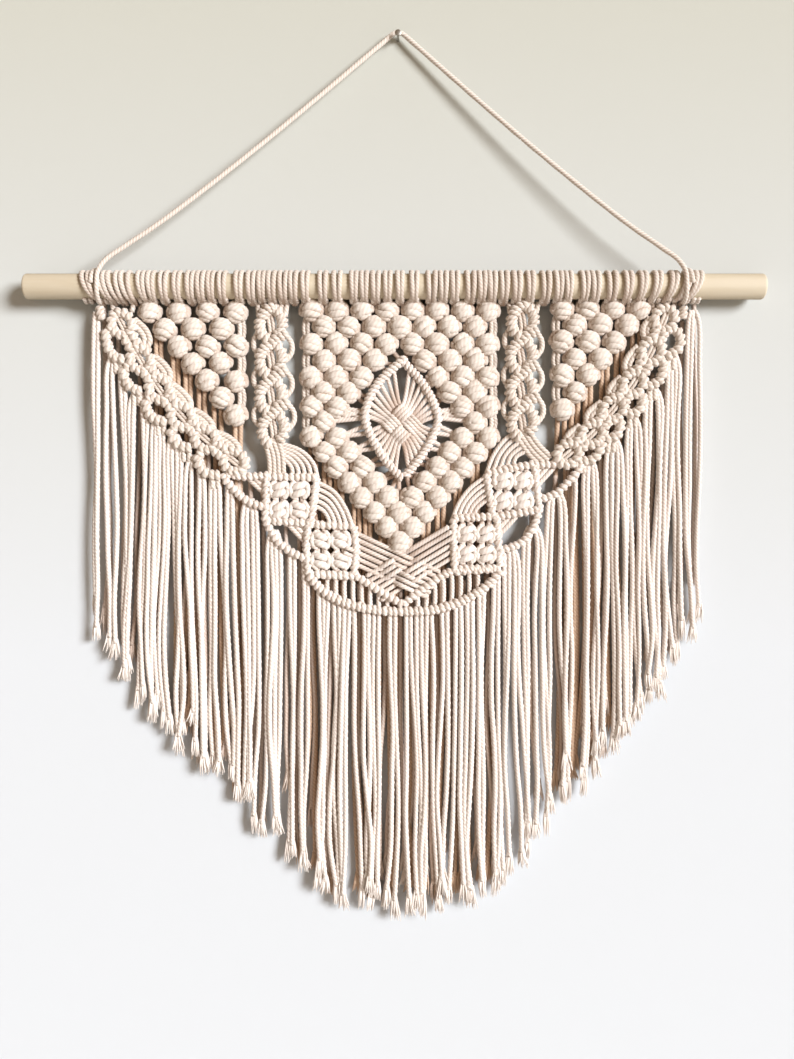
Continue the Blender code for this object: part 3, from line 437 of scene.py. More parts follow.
# %% The nail
NAIL_SHANK, NAIL_OUT, NAIL_HEAD, NAIL_THICK = 1.2, 13.0, 2.8, 1.2
nail = rod("steel_nail", NAIL_SHANK, NAIL_OUT, (0, -NAIL_OUT / 2, 0), (pi / 2, 0, 0), 24)
pick(nail, "FACE", lambda middle: middle.y < -NAIL_OUT * MM * 0.99)
bpy.ops.mesh.extrude_region_move(TRANSFORM_OT_translate={"value": (0, -0.0001, 0)})
bpy.ops.transform.resize(value=(NAIL_HEAD / NAIL_SHANK, 1, NAIL_HEAD / NAIL_SHANK))
bpy.ops.mesh.extrude_region_move(TRANSFORM_OT_translate={"value": (0, -NAIL_THICK * MM * 0.7, 0)})
bpy.ops.mesh.extrude_region_move(TRANSFORM_OT_translate={"value": (0, -NAIL_THICK * MM * 0.2, 0)})
bpy.ops.transform.resize(value=(0.8, 1, 0.8))
finish_piece(nail, brushed_steel, "wall_nail")

# %% [markdown]
# ## The heading
# Each cord is folded in half and hung on the dowel with a lark's head whose bar is behind, so the front
# shows two cords side by side that come over the dowel and lean together below it. The cords at the two ends
# lean inwards. One wrap copied along the dowel would look stamped, so each is its own curve with its own gap
# and lean, and a line of short bars closes the back.

# %% Sizes of the lark's heads
WRAPS = 96
WRAP_LEFT, WRAP_RIGHT = -275, 264
WRAP_RADIUS = 12.7
WRAP_FLAT = 0.74  # a cord pulled down on the wood
WRAP_SHADES = (0.8, 0.9, 0.9, 0.8, 0.5, 0.1)
PINCH = 1.5  # how far the two cords of a pair lean together
END_LEAN, END_WRAPS = 12, 13  # how far the end cords lean inwards, over how many cords
# degrees round the dowel from straight out, and the share of the lean there
WRAP_TURNS = ((150, -0.1), (115, -0.12), (80, -0.1), (45, -0.05), (10, 0.08), (-25, 0.35), (-58, 0.7))
WRAP_FOOT = ((1, 237.4, 17), (1.1, 239.8, 10.5))  # the share of the lean, drop and out below the dowel
# behind: the share of the way from one cord to the next, aside, drop and out
BACK_BAR = ((0, -0.5, 214, 8), (0, 0.3, 220, 3.4), (0.5, 0, 226, 2.2), (1, -0.3, 220, 3.4), (1, 0.5, 214, 8))

# %% Wraps and bars round the dowel
def spaced(first, last, spaces):
    """Places from the first to the last, with gaps in proportion to spaces."""
    return first + (last - first) * np.concatenate([[0], np.cumsum(spaces)]) / spaces.sum()


heading = Cords()
spaces = 1 + random.exponential(0.2, WRAPS - 1)
spaces[1::2] += random.choice([0, 0, 0.1, 0.4, 1.0], WRAPS // 2 - 1)
wraps = spaced(WRAP_LEFT, WRAP_RIGHT, spaces)
for n, x in enumerate(wraps):
    from_left, from_right = n / END_WRAPS, (WRAPS - 1 - n) / END_WRAPS
    lean = END_LEAN * (max(0, 1 - from_left) ** 1.2 - max(0, 1 - from_right) ** 1.2)
    lean += PINCH * (1 if n % 2 == 0 else -1)
    rows = [round_dowel(x + lean * share, radians(turn), WRAP_RADIUS) for turn, share in WRAP_TURNS]
    rows += [(x + lean * share, drop, out) for share, drop, out in WRAP_FOOT]
    heading.run(rows, vary(0.88, 1.0), flat=WRAP_FLAT, shade=WRAP_SHADES)
for first, second in zip(wraps[::2], wraps[1::2]):
    rows = [(between(first, second, share) + aside, drop, out) for share, aside, drop, out in BACK_BAR]
    heading.run(rows, 0.9)
    for x, other in ((first, second), (second, first)):
        rows = [(x, 236, 20), (x, 238, 14), (between(x, other, 0.05), 236, 7.5)]
        heading.run(rows, 0.9)
heading.piece("heading_wraps", white_cotton, "heading")

# %% [markdown]
# ## Bobbles
# A bobble is a short chain of square knots rolled up into a ball and tied off. What shows is turns of cord:
# some across its front, one down each side and the short tie below. A lumpy ball would lack the turns, and
# the whole chain would have many faces that nobody sees. So a bobble is its outer turns on a plain round
# heart, laid again at each place with its own small tilt, size and lay.

# %% The turns of a bobble
BOBBLE_X, BOBBLE_DROP, BOBBLE_OUT = 8.0, 7.6, 6.1  # from its heart to the middle of its cords
LOBE_HOLLOW = 0.92
HEART_OUT, HEART_RADII, HEART_SHADE = 10.6, (8.9, 7.4, 8.6), 0.08
HEART_LEVELS, HEART_SIDES = 6, 10
WANDER = 0.09  # how far a lobe strays from its table
NARROW_DOWN, NARROW_ACROSS = 0.45, 0.3  # how the ball narrows towards its foot and its sides
# each lobe's thickness, and its line as (across, down) from -1 to 1 over the front
LOBES = (
    (8.2, ((-0.62, -0.42), (-0.26, -0.56), (0.18, -0.58), (0.58, -0.44))),
    (8.0, ((-0.66, -0.04), (-0.24, -0.14), (0.20, -0.10), (0.66, 0.02))),
    (7.6, ((-0.60, 0.34), (-0.24, 0.30), (0.16, 0.36), (0.62, 0.40))),
    (6.6, ((-0.52, 0.66), (-0.16, 0.70), (0.16, 0.74), (0.50, 0.68))),
    (7.0, ((-0.68, -0.62), (-0.96, -0.22), (-0.94, 0.22), (-0.70, 0.52))),
    (7.0, ((0.70, -0.60), (0.98, -0.18), (0.94, 0.26), (0.72, 0.54))),
    (5.2, ((-0.44, 0.88), (-0.02, 0.98), (0.44, 0.88))),
)


def over_ball(across, down):
    """A point on the front of a ball of size 1, from how far across and down it is."""
    a, d = across * pi / 2, down * pi / 2
    forward = cos(a) * cos(d)
    return np.array([sin(a) * cos(d * NARROW_DOWN), sin(d) * cos(a * NARROW_ACROSS), forward])

# %% Its round heart
def heart(cords, middle, radii):
    """A plain round ball that fills the hollows between the turns."""
    k = np.arange(HEART_SIDES)
    j = (k + 1) % HEART_SIDES
    polar = np.repeat(pi * np.arange(1, HEART_LEVELS) / HEART_LEVELS, HEART_SIDES)
    turn = np.tile(2 * pi * k / HEART_SIDES, HEART_LEVELS - 1)
    rings = np.column_stack([np.sin(polar) * np.cos(turn), np.sin(polar) * np.sin(turn), np.cos(polar)])
    points = middle + radii * np.vstack([[0, 0, 1], [0, 0, -1], rings])
    north, first = cords.count, cords.count + 2
    upper = first + HEART_SIDES * np.arange(HEART_LEVELS - 2)[:, None]
    lower, last = upper + HEART_SIDES, upper[-1, 0] + HEART_SIDES
    cords.points.append(points)
    cords.quads.append(np.stack([upper + k, lower + k, lower + j, upper + j], -1).reshape(-1, 4))
    cords.quad_uv.append(np.zeros((upper.size * HEART_SIDES, 8)))
    cords.tris.append(np.column_stack([0 * k + north, first + k, first + j]))
    cords.tris.append(np.column_stack([0 * k + north + 1, last + j, last + k]))
    cords.tri_uv.append(np.zeros((2 * HEART_SIDES, 6)))
    cords.tone.append(np.zeros(len(points)))
    cords.painted_light.append(np.full(len(points), HEART_SHADE))
    cords.count += len(points)

# %% One bobble
def turned(x, drop, across, down, angle):
    """A place across and down from (x, drop), turned round it."""
    c, s = cos(angle), sin(angle)
    return x + across * c - down * s, drop + across * s + down * c


def bobble(cords, x, drop):
    tilt, mirror = vary(-0.45, 0.45), random.choice([-1, 1])
    scale = vary(0.96, 1.04)
    radii = np.array([BOBBLE_X, BOBBLE_DROP, BOBBLE_OUT]) * scale
    for thick, line in LOBES:
        rows, lit = [], []
        for across, down in line:
            wander = vary(-WANDER, WANDER, 2)
            aside, below, out = over_ball(mirror * across + wander[0], down + wander[1]) * radii
            rows.append((*turned(x, drop, aside, below, tilt), HEART_OUT + out))
            lit.append(min(0.95, 0.35 + out / BOBBLE_OUT))
        size = thick * vary(0.95, 1.06)
        cords.lay(place(rows), size=size, hollow=LOBE_HOLLOW, taper=(0.75, 1, 1, 1, 0.75), shade=lit)
    heart(cords, place([(x, drop, HEART_OUT)]), np.array(HEART_RADII) * scale)

# %% Where the bobbles sit
CENTRE_X, BOBBLE_PITCH, ROW_PITCH = 1.5, 22.3, 13.6
ROW_DROPS = ((0, 245), (4, 304), (15, 450))  # row and drop: the knots below hang a little closer
# outer and inner ends of each row of the centre panel, in pitches to either side of the middle
CENTRE_ROWS = (
    (3.5, 0.5), (3, 0), (3.5, 0.5), (3, 1), (3.5, 1.5), (3, 2), (3.5, 2.5), (3, 3),
    (3.5, 2.5), (3, 2), (2.5, 1.5), (2, 1), (1.5, 0.5), (1, 0), (0.5, 0.5), (0, 0),
)
CORNER_ROWS = (4, 3, 3, 2, 2, 1, 1)
# x of the straight edge, direction of the rows, pitch along and down, drop of the top row
CORNERS = {"left": (-143.5, -1, 25.2, 15.2, 246.5), "right": (145, 1, 22.9, 14.9, 243)}


def at_x(rows, x):
    """The second column of a table at a value of the first."""
    rows = sorted(rows)
    return float(np.interp(x, [row[0] for row in rows], [row[1] for row in rows]))


def centre_places():
    places = {}
    for row, (outer, inner) in enumerate(CENTRE_ROWS):
        for k in range(round(outer - inner) + 1):
            for side in (-1, 1):
                column = side * (outer - k)
                places[row, round(2 * column)] = (CENTRE_X + column * BOBBLE_PITCH, at_x(ROW_DROPS, row))
    return places


def corner_places(edge, side, pitch, row_pitch, top):
    places = {}
    for row, count in enumerate(CORNER_ROWS):
        for n in range(count):
            column = n + (0.5 if row % 2 else 0.0)
            places[row, side * round(2 * column)] = (edge + side * column * pitch, top + row_pitch * row)
    return places


print("bobbles in the centre panel:", len(centre_places()))

# %% A panel of bobbles
def bobble_panel(cords, places, edges):
    """Bobbles, the cords from each to the two below it, and twisted cords down the straight edges."""
    for (row, column), (x, drop) in places.items():
        bobble(cords, x + vary(-0.5, 0.5), drop + vary(-0.6, 0.6))
        for step in (-1, 1):
            below = places.get((row + 1, column + step))
            if below:
                middle = ((x + below[0]) / 2, (drop + below[1]) / 2, 8.4)
                rows = [(x + step * 2, drop + 3, 9), middle, (below[0] - step * 2, below[1] - 3, 9)]
                cords.run(rows, 0.9, shade=0.2)
        if row == 0:
            for aside in (-4, 4):
                cords.run([(x + aside, 238, 12), (x + aside * 0.6, drop - 2, 10)])
    for side in edges:
        furthest = max(side * column for _, column in places)
        ends = [places[key] for key in sorted(places) if side * key[1] == furthest]
        for (x0, d0), (x1, d1) in zip(ends, ends[1:]):
            if d1 - d0 < 3 * ROW_PITCH:
                for bow, out in ((side * 2.4, 9.4), (side * 5.2, 8.2)):
                    middle = (x0 + bow * 1.35, (d0 + d1) / 2, out)
                    rows = [(x0 + bow * 0.8, d0 + 2, out + 1), middle, (x1 + bow * 0.8, d1 - 2, out + 1)]
                    cords.run(rows, 0.9)

# %% The three panels
for side, corner in CORNERS.items():
    panel = Cords()
    bobble_panel(panel, corner_places(*corner), (-corner[1],))
    panel.piece(f"{side}_corner_bobbles", white_cotton, f"{side}_corner_panel")
panel = Cords()
bobble_panel(panel, centre_places(), (-1, 1))
panel.piece("centre_bobbles", white_cotton, "centre_panel")

# %% [markdown]
# ## Rows of half hitches
# Every ridge, bar, ring and frame in this hanging is the same knot: one cord is held out as the line, and
# each other cord makes two turns round it. So a ridge is a core with short turns of cord side by side, which
# lean a little. Whole turns would double the faces, so each is a half ring over the front of the core, whose
# ends go behind it.

# %% Half hitches along a line
HITCH, HITCH_PITCH = 3.9, 3.5  # the cord's width where a turn is pulled tight, and from turn to turn
RIDGE = 7.6  # across the ridge
BORDER_OUT = 13.25
HITCH_TURNS = np.array((-125, -90, -50, 0, 50, 90, 125))  # degrees round the core from straight out


def level(rows, out):
    """Rows of (x, drop), all as far out, as points of the frame."""
    return place([(x, drop, out) for x, drop in rows])


def hitches(cords, rows, width=RIDGE, lean=0.3, closed=False, hitch=HITCH, pitch=HITCH_PITCH, out=BORDER_OUT):
    """A ridge of half hitches along rows of (x, drop)."""
    line, at = curve(level(rows, out), 1.0, closed)
    along = unit(np.gradient(line, axis=0))
    if closed:
        along[0] = along[-1] = unit(along[0] + along[-1])
    cords.lay(line[::4], size=width * 0.62, hollow=1.0, step=3.0, tone=0.3)
    side = unit(np.cross(along, FRONT))
    reach = (width - hitch) / 2
    count = max(1, round(at[-1] / pitch))
    for n in range(count):
        i = int(round((n + 0.5) / count * (len(line) - 1)))
        turn = np.radians(HITCH_TURNS + vary(-4, 4, len(HITCH_TURNS)))[:, None]
        ring = line[i] + side[i] * np.sin(turn) * reach + FRONT * np.cos(turn) * reach * 1.05
        ring += along[i] * np.sin(turn) * reach * lean * 1.6
        cords.lay(ring, size=hitch * vary(0.95, 1.07), step=1.3, taper=(0.7, 1, 1, 1, 0.7))

# %% [markdown]
# ## The diamond
# In the middle of the centre panel two ridges of half hitches meet above and below, and bow outwards
# between. Inside, the cords of each ridge gather into a flat bundle of two halves, and each half goes over
# one half of the other bundle and under the next. A weave drawn on a sheet would not rise and dip, so each
# cord is laid on its own. Short cords tie the ridges to the bobbles round them.

# %% Lines of the diamond
DIAMOND_SIDES = {
    -1: ((6.5, 287), (-18.5, 311), (-28.3, 332), (-28.3, 344), (-23, 358), (-10.7, 378), (4, 394)),
    1: ((4, 290), (21, 308.7), (32, 328.5), (35.5, 340.6), (30, 358), (19, 376), (5.7, 392)),
}
HEART_X, HEART_DROP, DIAMOND_OUT = 3.0, 345.5, 13.0
BUNDLE, BUNDLE_PITCH = 8, 3.2  # cords in a bundle, and the spacing between them
WEAVE_LIFT = 2.8
UPPER_ENDS, LOWER_ENDS = (297.0, 338.0), (352.0, 387.0)  # drops between which the cords leave a ridge


def on_side(side, drop):
    return at_x([(d, x) for x, d in DIAMOND_SIDES[side]], drop)

# %% The ridges and the weave
diamond = Cords()
for side, rows in DIAMOND_SIDES.items():
    hitches(diamond, rows, width=9.4, hitch=4.4, pitch=4.0, out=DIAMOND_OUT + 1 - 0.3 * side)
for lean in (1, -1):  # 1 falls to the right, -1 to the left
    for n in range(BUNDLE):
        offset = (n - (BUNDLE - 1) / 2) * BUNDLE_PITCH
        upper, lower = (between(low, high, n / (BUNDLE - 1)) for high, low in (UPPER_ENDS, LOWER_ENDS))
        first_over = lean * (1 if n < BUNDLE // 2 else -1)
        rows = [(on_side(-lean, upper), upper, DIAMOND_OUT)]
        lit = [0.5, 0.9]
        for t, over in ((-13.5, 0.1), (-9.6, 1), (-3.4, 1), (0, 0), (3.4, -1), (9.6, -1), (13.5, -0.1)):
            lit.append(0.6 + 0.4 * first_over * over)
            x, drop = HEART_X + lean * (t + offset) * 0.707, HEART_DROP + (t - offset) * 0.707
            rows.append((x, drop, DIAMOND_OUT + 0.6 + first_over * over * WEAVE_LIFT))
        rows.append((on_side(lean, lower), lower, DIAMOND_OUT))
        diamond.run(rows, vary(0.78, 0.92), flat=0.85, shade=lit + [0.9, 0.5])
# from each bobble beside the diamond to the ridge
for (row, column), (x, drop) in centre_places().items():
    side = 1 if column > 0 else -1
    inner = abs(column) == round(2 * CENTRE_ROWS[row][1])
    out, lit = (10.5, 0.9) if 6 <= row <= 9 else (8.0, 0.15)  # in sight at the widest rows only
    if inner and 2 <= row <= 13:
        for fall in (4, 11) if row < 7 else (-11, -4):
            end = min(max(drop + fall, 290), 390)
            end_x = on_side(side, end)
            rows = [(x, drop, out - 1), ((x + end_x) / 2, (drop + end) / 2, out), (end_x, end, out)]
            diamond.run(rows, 0.9, shade=lit)
diamond.piece("hitched_diamond", painted_lit_cotton, "centre_panel")

# %% [markdown]
# ## The bands
# A band of leaves runs down each side. Each leaf is a ring of half hitches round a few slanting cords. A
# thicker ridge links the leaves along the outer edge, where the fringe leaves, and free cords loop out along
# the inner edge. The two sides were tied by hand and differ, so neither is the other mirrored. Tables give
# the points that each line passes through, and the same makers read both.

# %% Band tables
# each side: where the loops bulge to, the start, the middles of the leaves, the outer and the inner loops
BANDS = {
    "left": (
        1,
        ((-263, 241.8), (-263, 247), (-261, 253)),
        ((-243.5, 257.6), (-227, 289), (-210.5, 314.8), (-190.7, 339), (-169.8, 358.8), (-144.5, 378.6)),
        (
            ((-258, 262), (-258.3, 272), (-256, 281), (-250, 288), (-242, 290.5)),
            ((-243.5, 296), (-242.5, 305), (-237, 314), (-226, 319)),
            ((-223, 324), (-222.5, 334), (-216, 342), (-204.5, 345.5)),
            ((-201, 349.5), (-200.5, 358.5), (-194, 365.5), (-182, 368.5)),
            ((-178, 372.5), (-176.5, 383.5), (-169.5, 390.5), (-156.5, 392.5)),
        ),
        (
            ((-232, 252), (-222, 262), (-218.5, 272), (-223, 281)),
            ((-214, 285), (-206, 292), (-200.5, 301), (-202, 310)),
            ((-199, 309), (-190, 316), (-182.5, 326), (-183, 335)),
            ((-180, 332), (-171, 337), (-163.5, 345), (-162, 354)),
            ((-160, 352), (-150, 356), (-141, 364), (-139, 373)),
        ),
    ),
    "right": (
        -1,
        ((252, 241.8), (252, 247), (250.5, 253)),
        ((235, 253.2), (223.5, 281.8), (207.5, 309.9), (189.9, 332.4), (171.2, 354.4), (150, 372)),
        (
            ((246.5, 262), (250.3, 270), (249.3, 279), (242, 285), (236, 287.5)),
            ((236, 290), (234.5, 301), (231, 309), (219.5, 314)),
            ((216, 319), (216.5, 328), (212, 336), (202, 338.5)),
            ((196.5, 342), (197, 350), (193.5, 357), (183, 360.5)),
            ((181, 361), (178, 372), (171, 379), (157, 379)),
        ),
        (
            ((222, 251), (216.5, 259), (216, 267), (220, 273)),
            ((211, 276), (202, 286), (199.5, 296), (204, 301)),
            ((196, 303), (187, 312), (185.5, 319), (188, 324)),
            ((179, 325), (168, 334), (165.5, 341), (169, 346)),
            ((160, 346), (150, 354), (147.5, 361), (151, 366)),
        ),
    ),
}
LEAF_ACROSS, LEAF_ALONG = 8.8, 10.8
CHUNKY = {"width": 11.2, "hitch": 6.0, "pitch": 5.3, "lean": 0.15}  # half hitches of two cords at a time

# %% A line moved sideways
def beside(rows, shift, out):
    """A line of (x, drop) moved sideways, as points of the frame."""
    points = level(rows, out)
    side = unit(np.cross(unit(np.gradient(points, axis=0)), FRONT))
    return points + side * shift


def shifted(rows, shift):
    """A line of (x, drop) moved sideways."""
    return [(point[0], -point[2]) for point in beside(rows, shift, 0.0)]

# %% One leaf and one band
def leaf(cords, x, drop, slant):
    """A ring of half hitches round two slanting cords. slant is the long axis's turn from straight down."""
    ring = []
    for turn in np.arange(10) * 2 * pi / 10:
        ring.append(turned(x, drop, LEAF_ACROSS * cos(turn), LEAF_ALONG * sin(turn), -slant))
    hitches(cords, ring, closed=True, out=BORDER_OUT + 0.6, **CHUNKY)
    for aside in (-1.5, 1.5):
        rows = []
        for t in (-10, -5, 0, 5, 10):
            rows.append((*turned(x, drop, aside, t, -slant), BORDER_OUT + 1.2 - abs(t) / 8))
        cords.run(rows, 0.66, shade=(0.2, 0.9, 0.9, 0.2))


def band(cords, side, start, leaves, outer, inner):
    hitches(cords, start, width=9.4, hitch=5.0, pitch=4.4, lean=0.1)
    for aside in (-10, 10):
        cords.run([(leaves[0][0] + aside, 236, 11.5), (leaves[0][0] + aside * 0.8, 246, 11.5)])
    for n, (x, drop) in enumerate(leaves):
        (x0, d0), (x1, d1) = leaves[max(0, n - 1)], leaves[min(len(leaves) - 1, n + 1)]
        leaf(cords, x, drop, atan2(x1 - x0, d1 - d0))
        if n + 1 < len(leaves):
            waist = [(between(x, x1, t), between(drop, d1, t)) for t in (0.36, 0.5, 0.64)]
            for shift in (-4.0, 3.4):
                hitches(cords, shifted(waist, shift), out=BORDER_OUT + 1.0, **CHUNKY)
    for loop in outer:
        line = [(loop[0][0] + side * 6, loop[0][1] - 2), *loop]
        hitches(cords, shifted(line, side * -1.4), out=BORDER_OUT + 0.2, **CHUNKY)
        # a short bundle under the loop's foot, from which the fringe spreads
        for shift in (-2.4, 2.4):
            x, drop = loop[-1][0] - side * 5 + shift, loop[-1][1]
            cords.run([(x, drop, 12.4), (x, drop + 5, 12.6), (x, drop + 10, 12)])
    for loop in inner:
        for shift in (0.8, 5.2):
            cords.lay(beside(loop, side * shift, BORDER_OUT - 0.6), size=CORD * 1.15)

# %% [markdown]
# ## The braids
# Beside each corner panel hangs a braid of half hitches. Ridges make a chain of eyes, each with two cords
# through it. A cord loops out to the right of each eye, and one runs down the left from eye to eye. The eyes
# are alike, so their lines are given once, from the middle of an eye, and moved to each.

# %% Braid tables
BRAIDS = {
    "left": (((-115, 259), (-115, 290), (-115, 322), (-113, 351)), ((-112, 360), (-108, 374), (-107, 391))),
    "right": (((107, 256), (106, 287), (106, 317), (107, 345)), ((109, 352), (119, 367), (131, 379))),
}
# lines from a braid's eye, as (x, drop): round its left, down its right, and the cords at either edge
EYE_RING = ((17, -24.5), (9.5, -20.5), (2, -14.5), (-4.8, -8), (-7, 0), (-4.6, 8.5), (0.5, 13))
TOP_RING = ((6, -17.5), (0, -14.5), (-5, -8), (-7, 0), (-4.6, 8.5), (0.5, 13))
SIDE_RING = ((5, -16), (10.5, -11), (13, -3.5), (11.5, 5), (7.5, 9))
SIDE_CORD = ((17, -22), (20.8, -16), (21, -8), (16.5, -1))
EDGE_CORD = ((-7, 5), (-12, 11), (-12.3, 19), (-8, 25))
EYE_CORD = ((-2, -10, 12.2), (0, 0, 13), (1, 10, 12.2))  # through the eye, as (x, drop, out)
BRAIDED = {"width": 11.8, "hitch": 4.9, "pitch": 4.3, "lean": 0.12}

# %% One braid
def braid(cords, eyes, foot):
    x, drop = eyes[0]
    for aside in (-9, -4, 2, 7, 12, 17):
        cords.run([(x + aside, 238, 12), (x + aside * 0.9, drop - 9, 12)])
    for n, (x, drop) in enumerate(eyes):
        lines = (SIDE_RING, EYE_RING if n else TOP_RING, SIDE_CORD, EDGE_CORD)
        side_ring, eye_ring, side_cord, edge_cord = (np.array(line) + (x, drop) for line in lines)
        hitches(cords, side_ring, out=BORDER_OUT - 0.4, **BRAIDED)
        hitches(cords, eye_ring, out=BORDER_OUT + 0.8, **BRAIDED)
        for aside in (1.5, 5.0):
            rows = [(x + aside + lag, drop + down, out) for lag, down, out in EYE_CORD]
            cords.run(rows, 0.75, shade=(0.3, 0.9, 0.9, 0.3))
        if n:
            cords.lay(level(side_cord, 12.2), size=CORD * 1.05)
        if n + 1 < len(eyes):
            cords.lay(level(edge_cord, 11.8))
    for shift in (-6, -2, 2, 6):
        cords.lay(beside(foot, shift, BORDER_OUT - 0.4))

# %% [markdown]
# ## Squares of square knots
# At the foot of each side two squares are framed with half hitches, and each holds four square knots. The
# front of a square knot is two cords that cross from side to side, one above the other, and turn back behind
# straight cords. They could be laid as two long cords that wind in and out. Only the front shows, so here
# each turn and each side loop is a short cord of its own.

# %% Square tables
SQUARES = (
    (((-116, 392), (-72, 393), (-77, 433), (-117, 431)), (-96, 412.5), (17.5, 18)),
    (((-79, 434), (-39, 436), (-37, 456), (-39, 479), (-79, 478), (-81, 454)), (-59.5, 457), (17.5, 18)),
    (((78, 389), (120, 381), (125, 421), (84, 428)), (101.5, 404.5), (17.5, 18)),
    (((49, 429), (87, 427), (90, 473), (50, 476)), (69, 451.5), (17, 18)),
)
FRAME = {"width": 9.4, "hitch": 5.2, "pitch": 4.9, "lean": 0.15}
# a knot's lines, as (share of how far aside, down, out), and its turns, as (across, down, slant, out)
HELD_CORD = ((1, -12, 11.4), (0.6, -5, 11.8), (0.6, 5, 11.8), (1, 12, 11.4))
SIDE_LOOP = ((3.6, -7.4, 12.8), (7.4, -2.6, 14.2), (7.4, 2.6, 14.2), (3.6, 7.4, 12.8))
CROSSED = ((-6.8, 1, -1, 12.4), (-2.4, 1.1, -0.4, 15), (2.4, 1.1, 0.4, 15), (6.8, 1, 1, 12.4))

# %% One square knot, and a square of them
def square_knot(cords, x, drop):
    """Two cords that cross the front on a slant, their side loops, and the straight cords that they hold."""
    slant = random.choice([-1, 1]) * vary(1.6, 3.0)
    for aside in (-3.8, 3.8):
        rows = [(x + aside * share, drop + down, out) for share, down, out in HELD_CORD]
        cords.run(rows, shade=(0.5, 1, 1, 0.5))
    for fall in (-3.0, 3.0):
        rows = [(x + across, drop + fall * down + slant * share, out) for across, down, share, out in CROSSED]
        cords.lay(place(rows), size=7.2, hollow=LOBE_HOLLOW, taper=(0.8, 1, 1, 0.8))
    for side in (-1, 1):
        rows = [(x + side * across, drop + down, out) for across, down, out in SIDE_LOOP]
        cords.run(rows, 1.05, hollow=LOBE_HOLLOW)


def square(cords, frame_rows, middle, pitch):
    for a, b in zip(frame_rows, frame_rows[1:] + frame_rows[:1]):
        hitches(cords, (a, ((a[0] + b[0]) / 2, (a[1] + b[1]) / 2), b), **FRAME)
    for column in (-0.5, 0.5):
        for row in (-0.5, 0.5):
            square_knot(cords, middle[0] + column * pitch[0], middle[1] + row * pitch[1])

# %% [markdown]
# ## Lenses, fans and the foot
# Outside each square a bowed ridge leaves an open lens with slanting cords in it. Above each square a fan of
# cords bends in from the braid. At the foot two ridges make a V over the long arc that carries the fringe,
# with straight cords between them, and two bundles of cords cross above the V. Only the two outer lines of a
# fan are given, because the cords between them share the space evenly.

# %% Lens and fan tables
LENSES = (
    (
        ((-114, 391), (-134, 392), (-154, 391), (-144, 404), (-132, 414), (-114, 420)),
        ((-136, 394), (-116, 411)),
    ),
    (((-117, 431), (-107, 448), (-95, 458), (-78, 466)), ((-101, 434), (-80, 455))),
    (((120, 382), (140, 381), (161, 382), (150, 397), (139, 407), (122, 413)), ((143, 382), (122, 404))),
    (((125, 420), (119, 438), (109, 450), (89, 458)), ((110, 425), (88, 448))),
)
FANS = (
    (((-106, 362), (-86, 369), (-75, 380), (-71, 393)), ((-106, 374), (-99, 378), (-94, 384), (-93, 391))),
    (((-73, 396), (-57, 405), (-47, 419), (-40, 436)), ((-75, 417), (-66, 422), (-62, 428), (-60, 435))),
    (((108, 352), (96, 358), (85, 372), (78, 389)), ((118, 368), (110, 371), (104, 375), (102, 382))),
    (((79, 391), (64, 402), (54, 415), (48, 430)), ((81, 411), (74, 416), (69, 421), (67, 429))),
)
FAN_CORDS = 5

# %% One lens and one fan
def lens(cords, bar, first):
    hitches(cords, bar, **FRAME)
    (x0, d0), (x1, d1) = first
    inwards = 1 if x1 > x0 else -1
    for n in range(3):
        step = 5.6 * n
        middle = ((x0 + x1) / 2 + inwards * (step + 1.5), (d0 + d1) / 2 - 1.5, 12)
        rows = ((x0 + inwards * step, d0 - 4, 11), middle, (x1 + inwards * 3, d1 - step * 0.9, 11))
        cords.run(rows, 0.96)


def fan(cords, outer, inner):
    for n in range(FAN_CORDS):
        rows = between(np.array(outer), np.array(inner), n / (FAN_CORDS - 1))
        cords.lay(level(rows, BORDER_OUT - 0.6), size=CORD * 0.86)

# %% Lines of the foot
V_LEFT = ((-78, 478), (-40, 480), (-37, 480), (-18, 492), (4, 505))
V_RIGHT = ((87, 473), (49, 475), (26, 488), (4, 505))
ARC = ((-79, 479), (-67, 492), (-50, 502), (-18, 510), (4, 511), (34, 509), (60, 500), (79, 488), (91, 475))
FOOT_CORDS = 8
CROSSING = {1: radians(25), -1: radians(31)}  # falls to the right and to the left, and how steeply
CROSSING_HEART = np.array([4.4, 475.0])
CROSSING_CORDS, CROSSING_PITCH = 6, 5.0
# how far along from the heart, and 1 over or -1 under the other bundle, turned round for half of the cords
CROSSING_LINE = (
    (-54, -1), (-36, 0), (-18, 0), (-10, 1), (-4, 1), (0, 0), (4, -1), (10, -1), (18, 0), (30, 0),
)

# %% The foot
def foot(cords):
    hitches(cords, ARC, width=10.2, hitch=4.9, pitch=4.6, lean=0.15, out=BORDER_OUT + 0.4)
    for rows in (V_LEFT, V_RIGHT):
        hitches(cords, rows, **FRAME)
    for rows, side in ((V_LEFT, -1), (V_RIGHT, 1)):
        for n in range(FOOT_CORDS):
            x = 4 + side * (13 + 7.6 * n)
            top, bottom = at_x(rows, x), at_x(ARC, x)
            if bottom - top > 5:
                cords.run([(x, top, 12), (x + side * 0.6, (top + bottom) / 2, 11.4), (x, bottom, 12)], 0.9)
    for lean, fall in CROSSING.items():
        along = np.array([lean * cos(fall), sin(fall)])
        across = np.array([-lean * sin(fall), cos(fall)])
        for n in range(CROSSING_CORDS):
            middle = CROSSING_HEART + across * (n - (CROSSING_CORDS - 1) / 2) * CROSSING_PITCH
            first_over = lean * (1 if n < CROSSING_CORDS // 2 else -1)
            rows, lit = [], []
            for t, over in CROSSING_LINE:
                rows.append((*(middle + along * t), BORDER_OUT + first_over * over * WEAVE_LIFT))
                lit.append(0.8 + 0.2 * first_over * over)
            cords.run(rows, vary(0.82, 0.96), shade=lit)

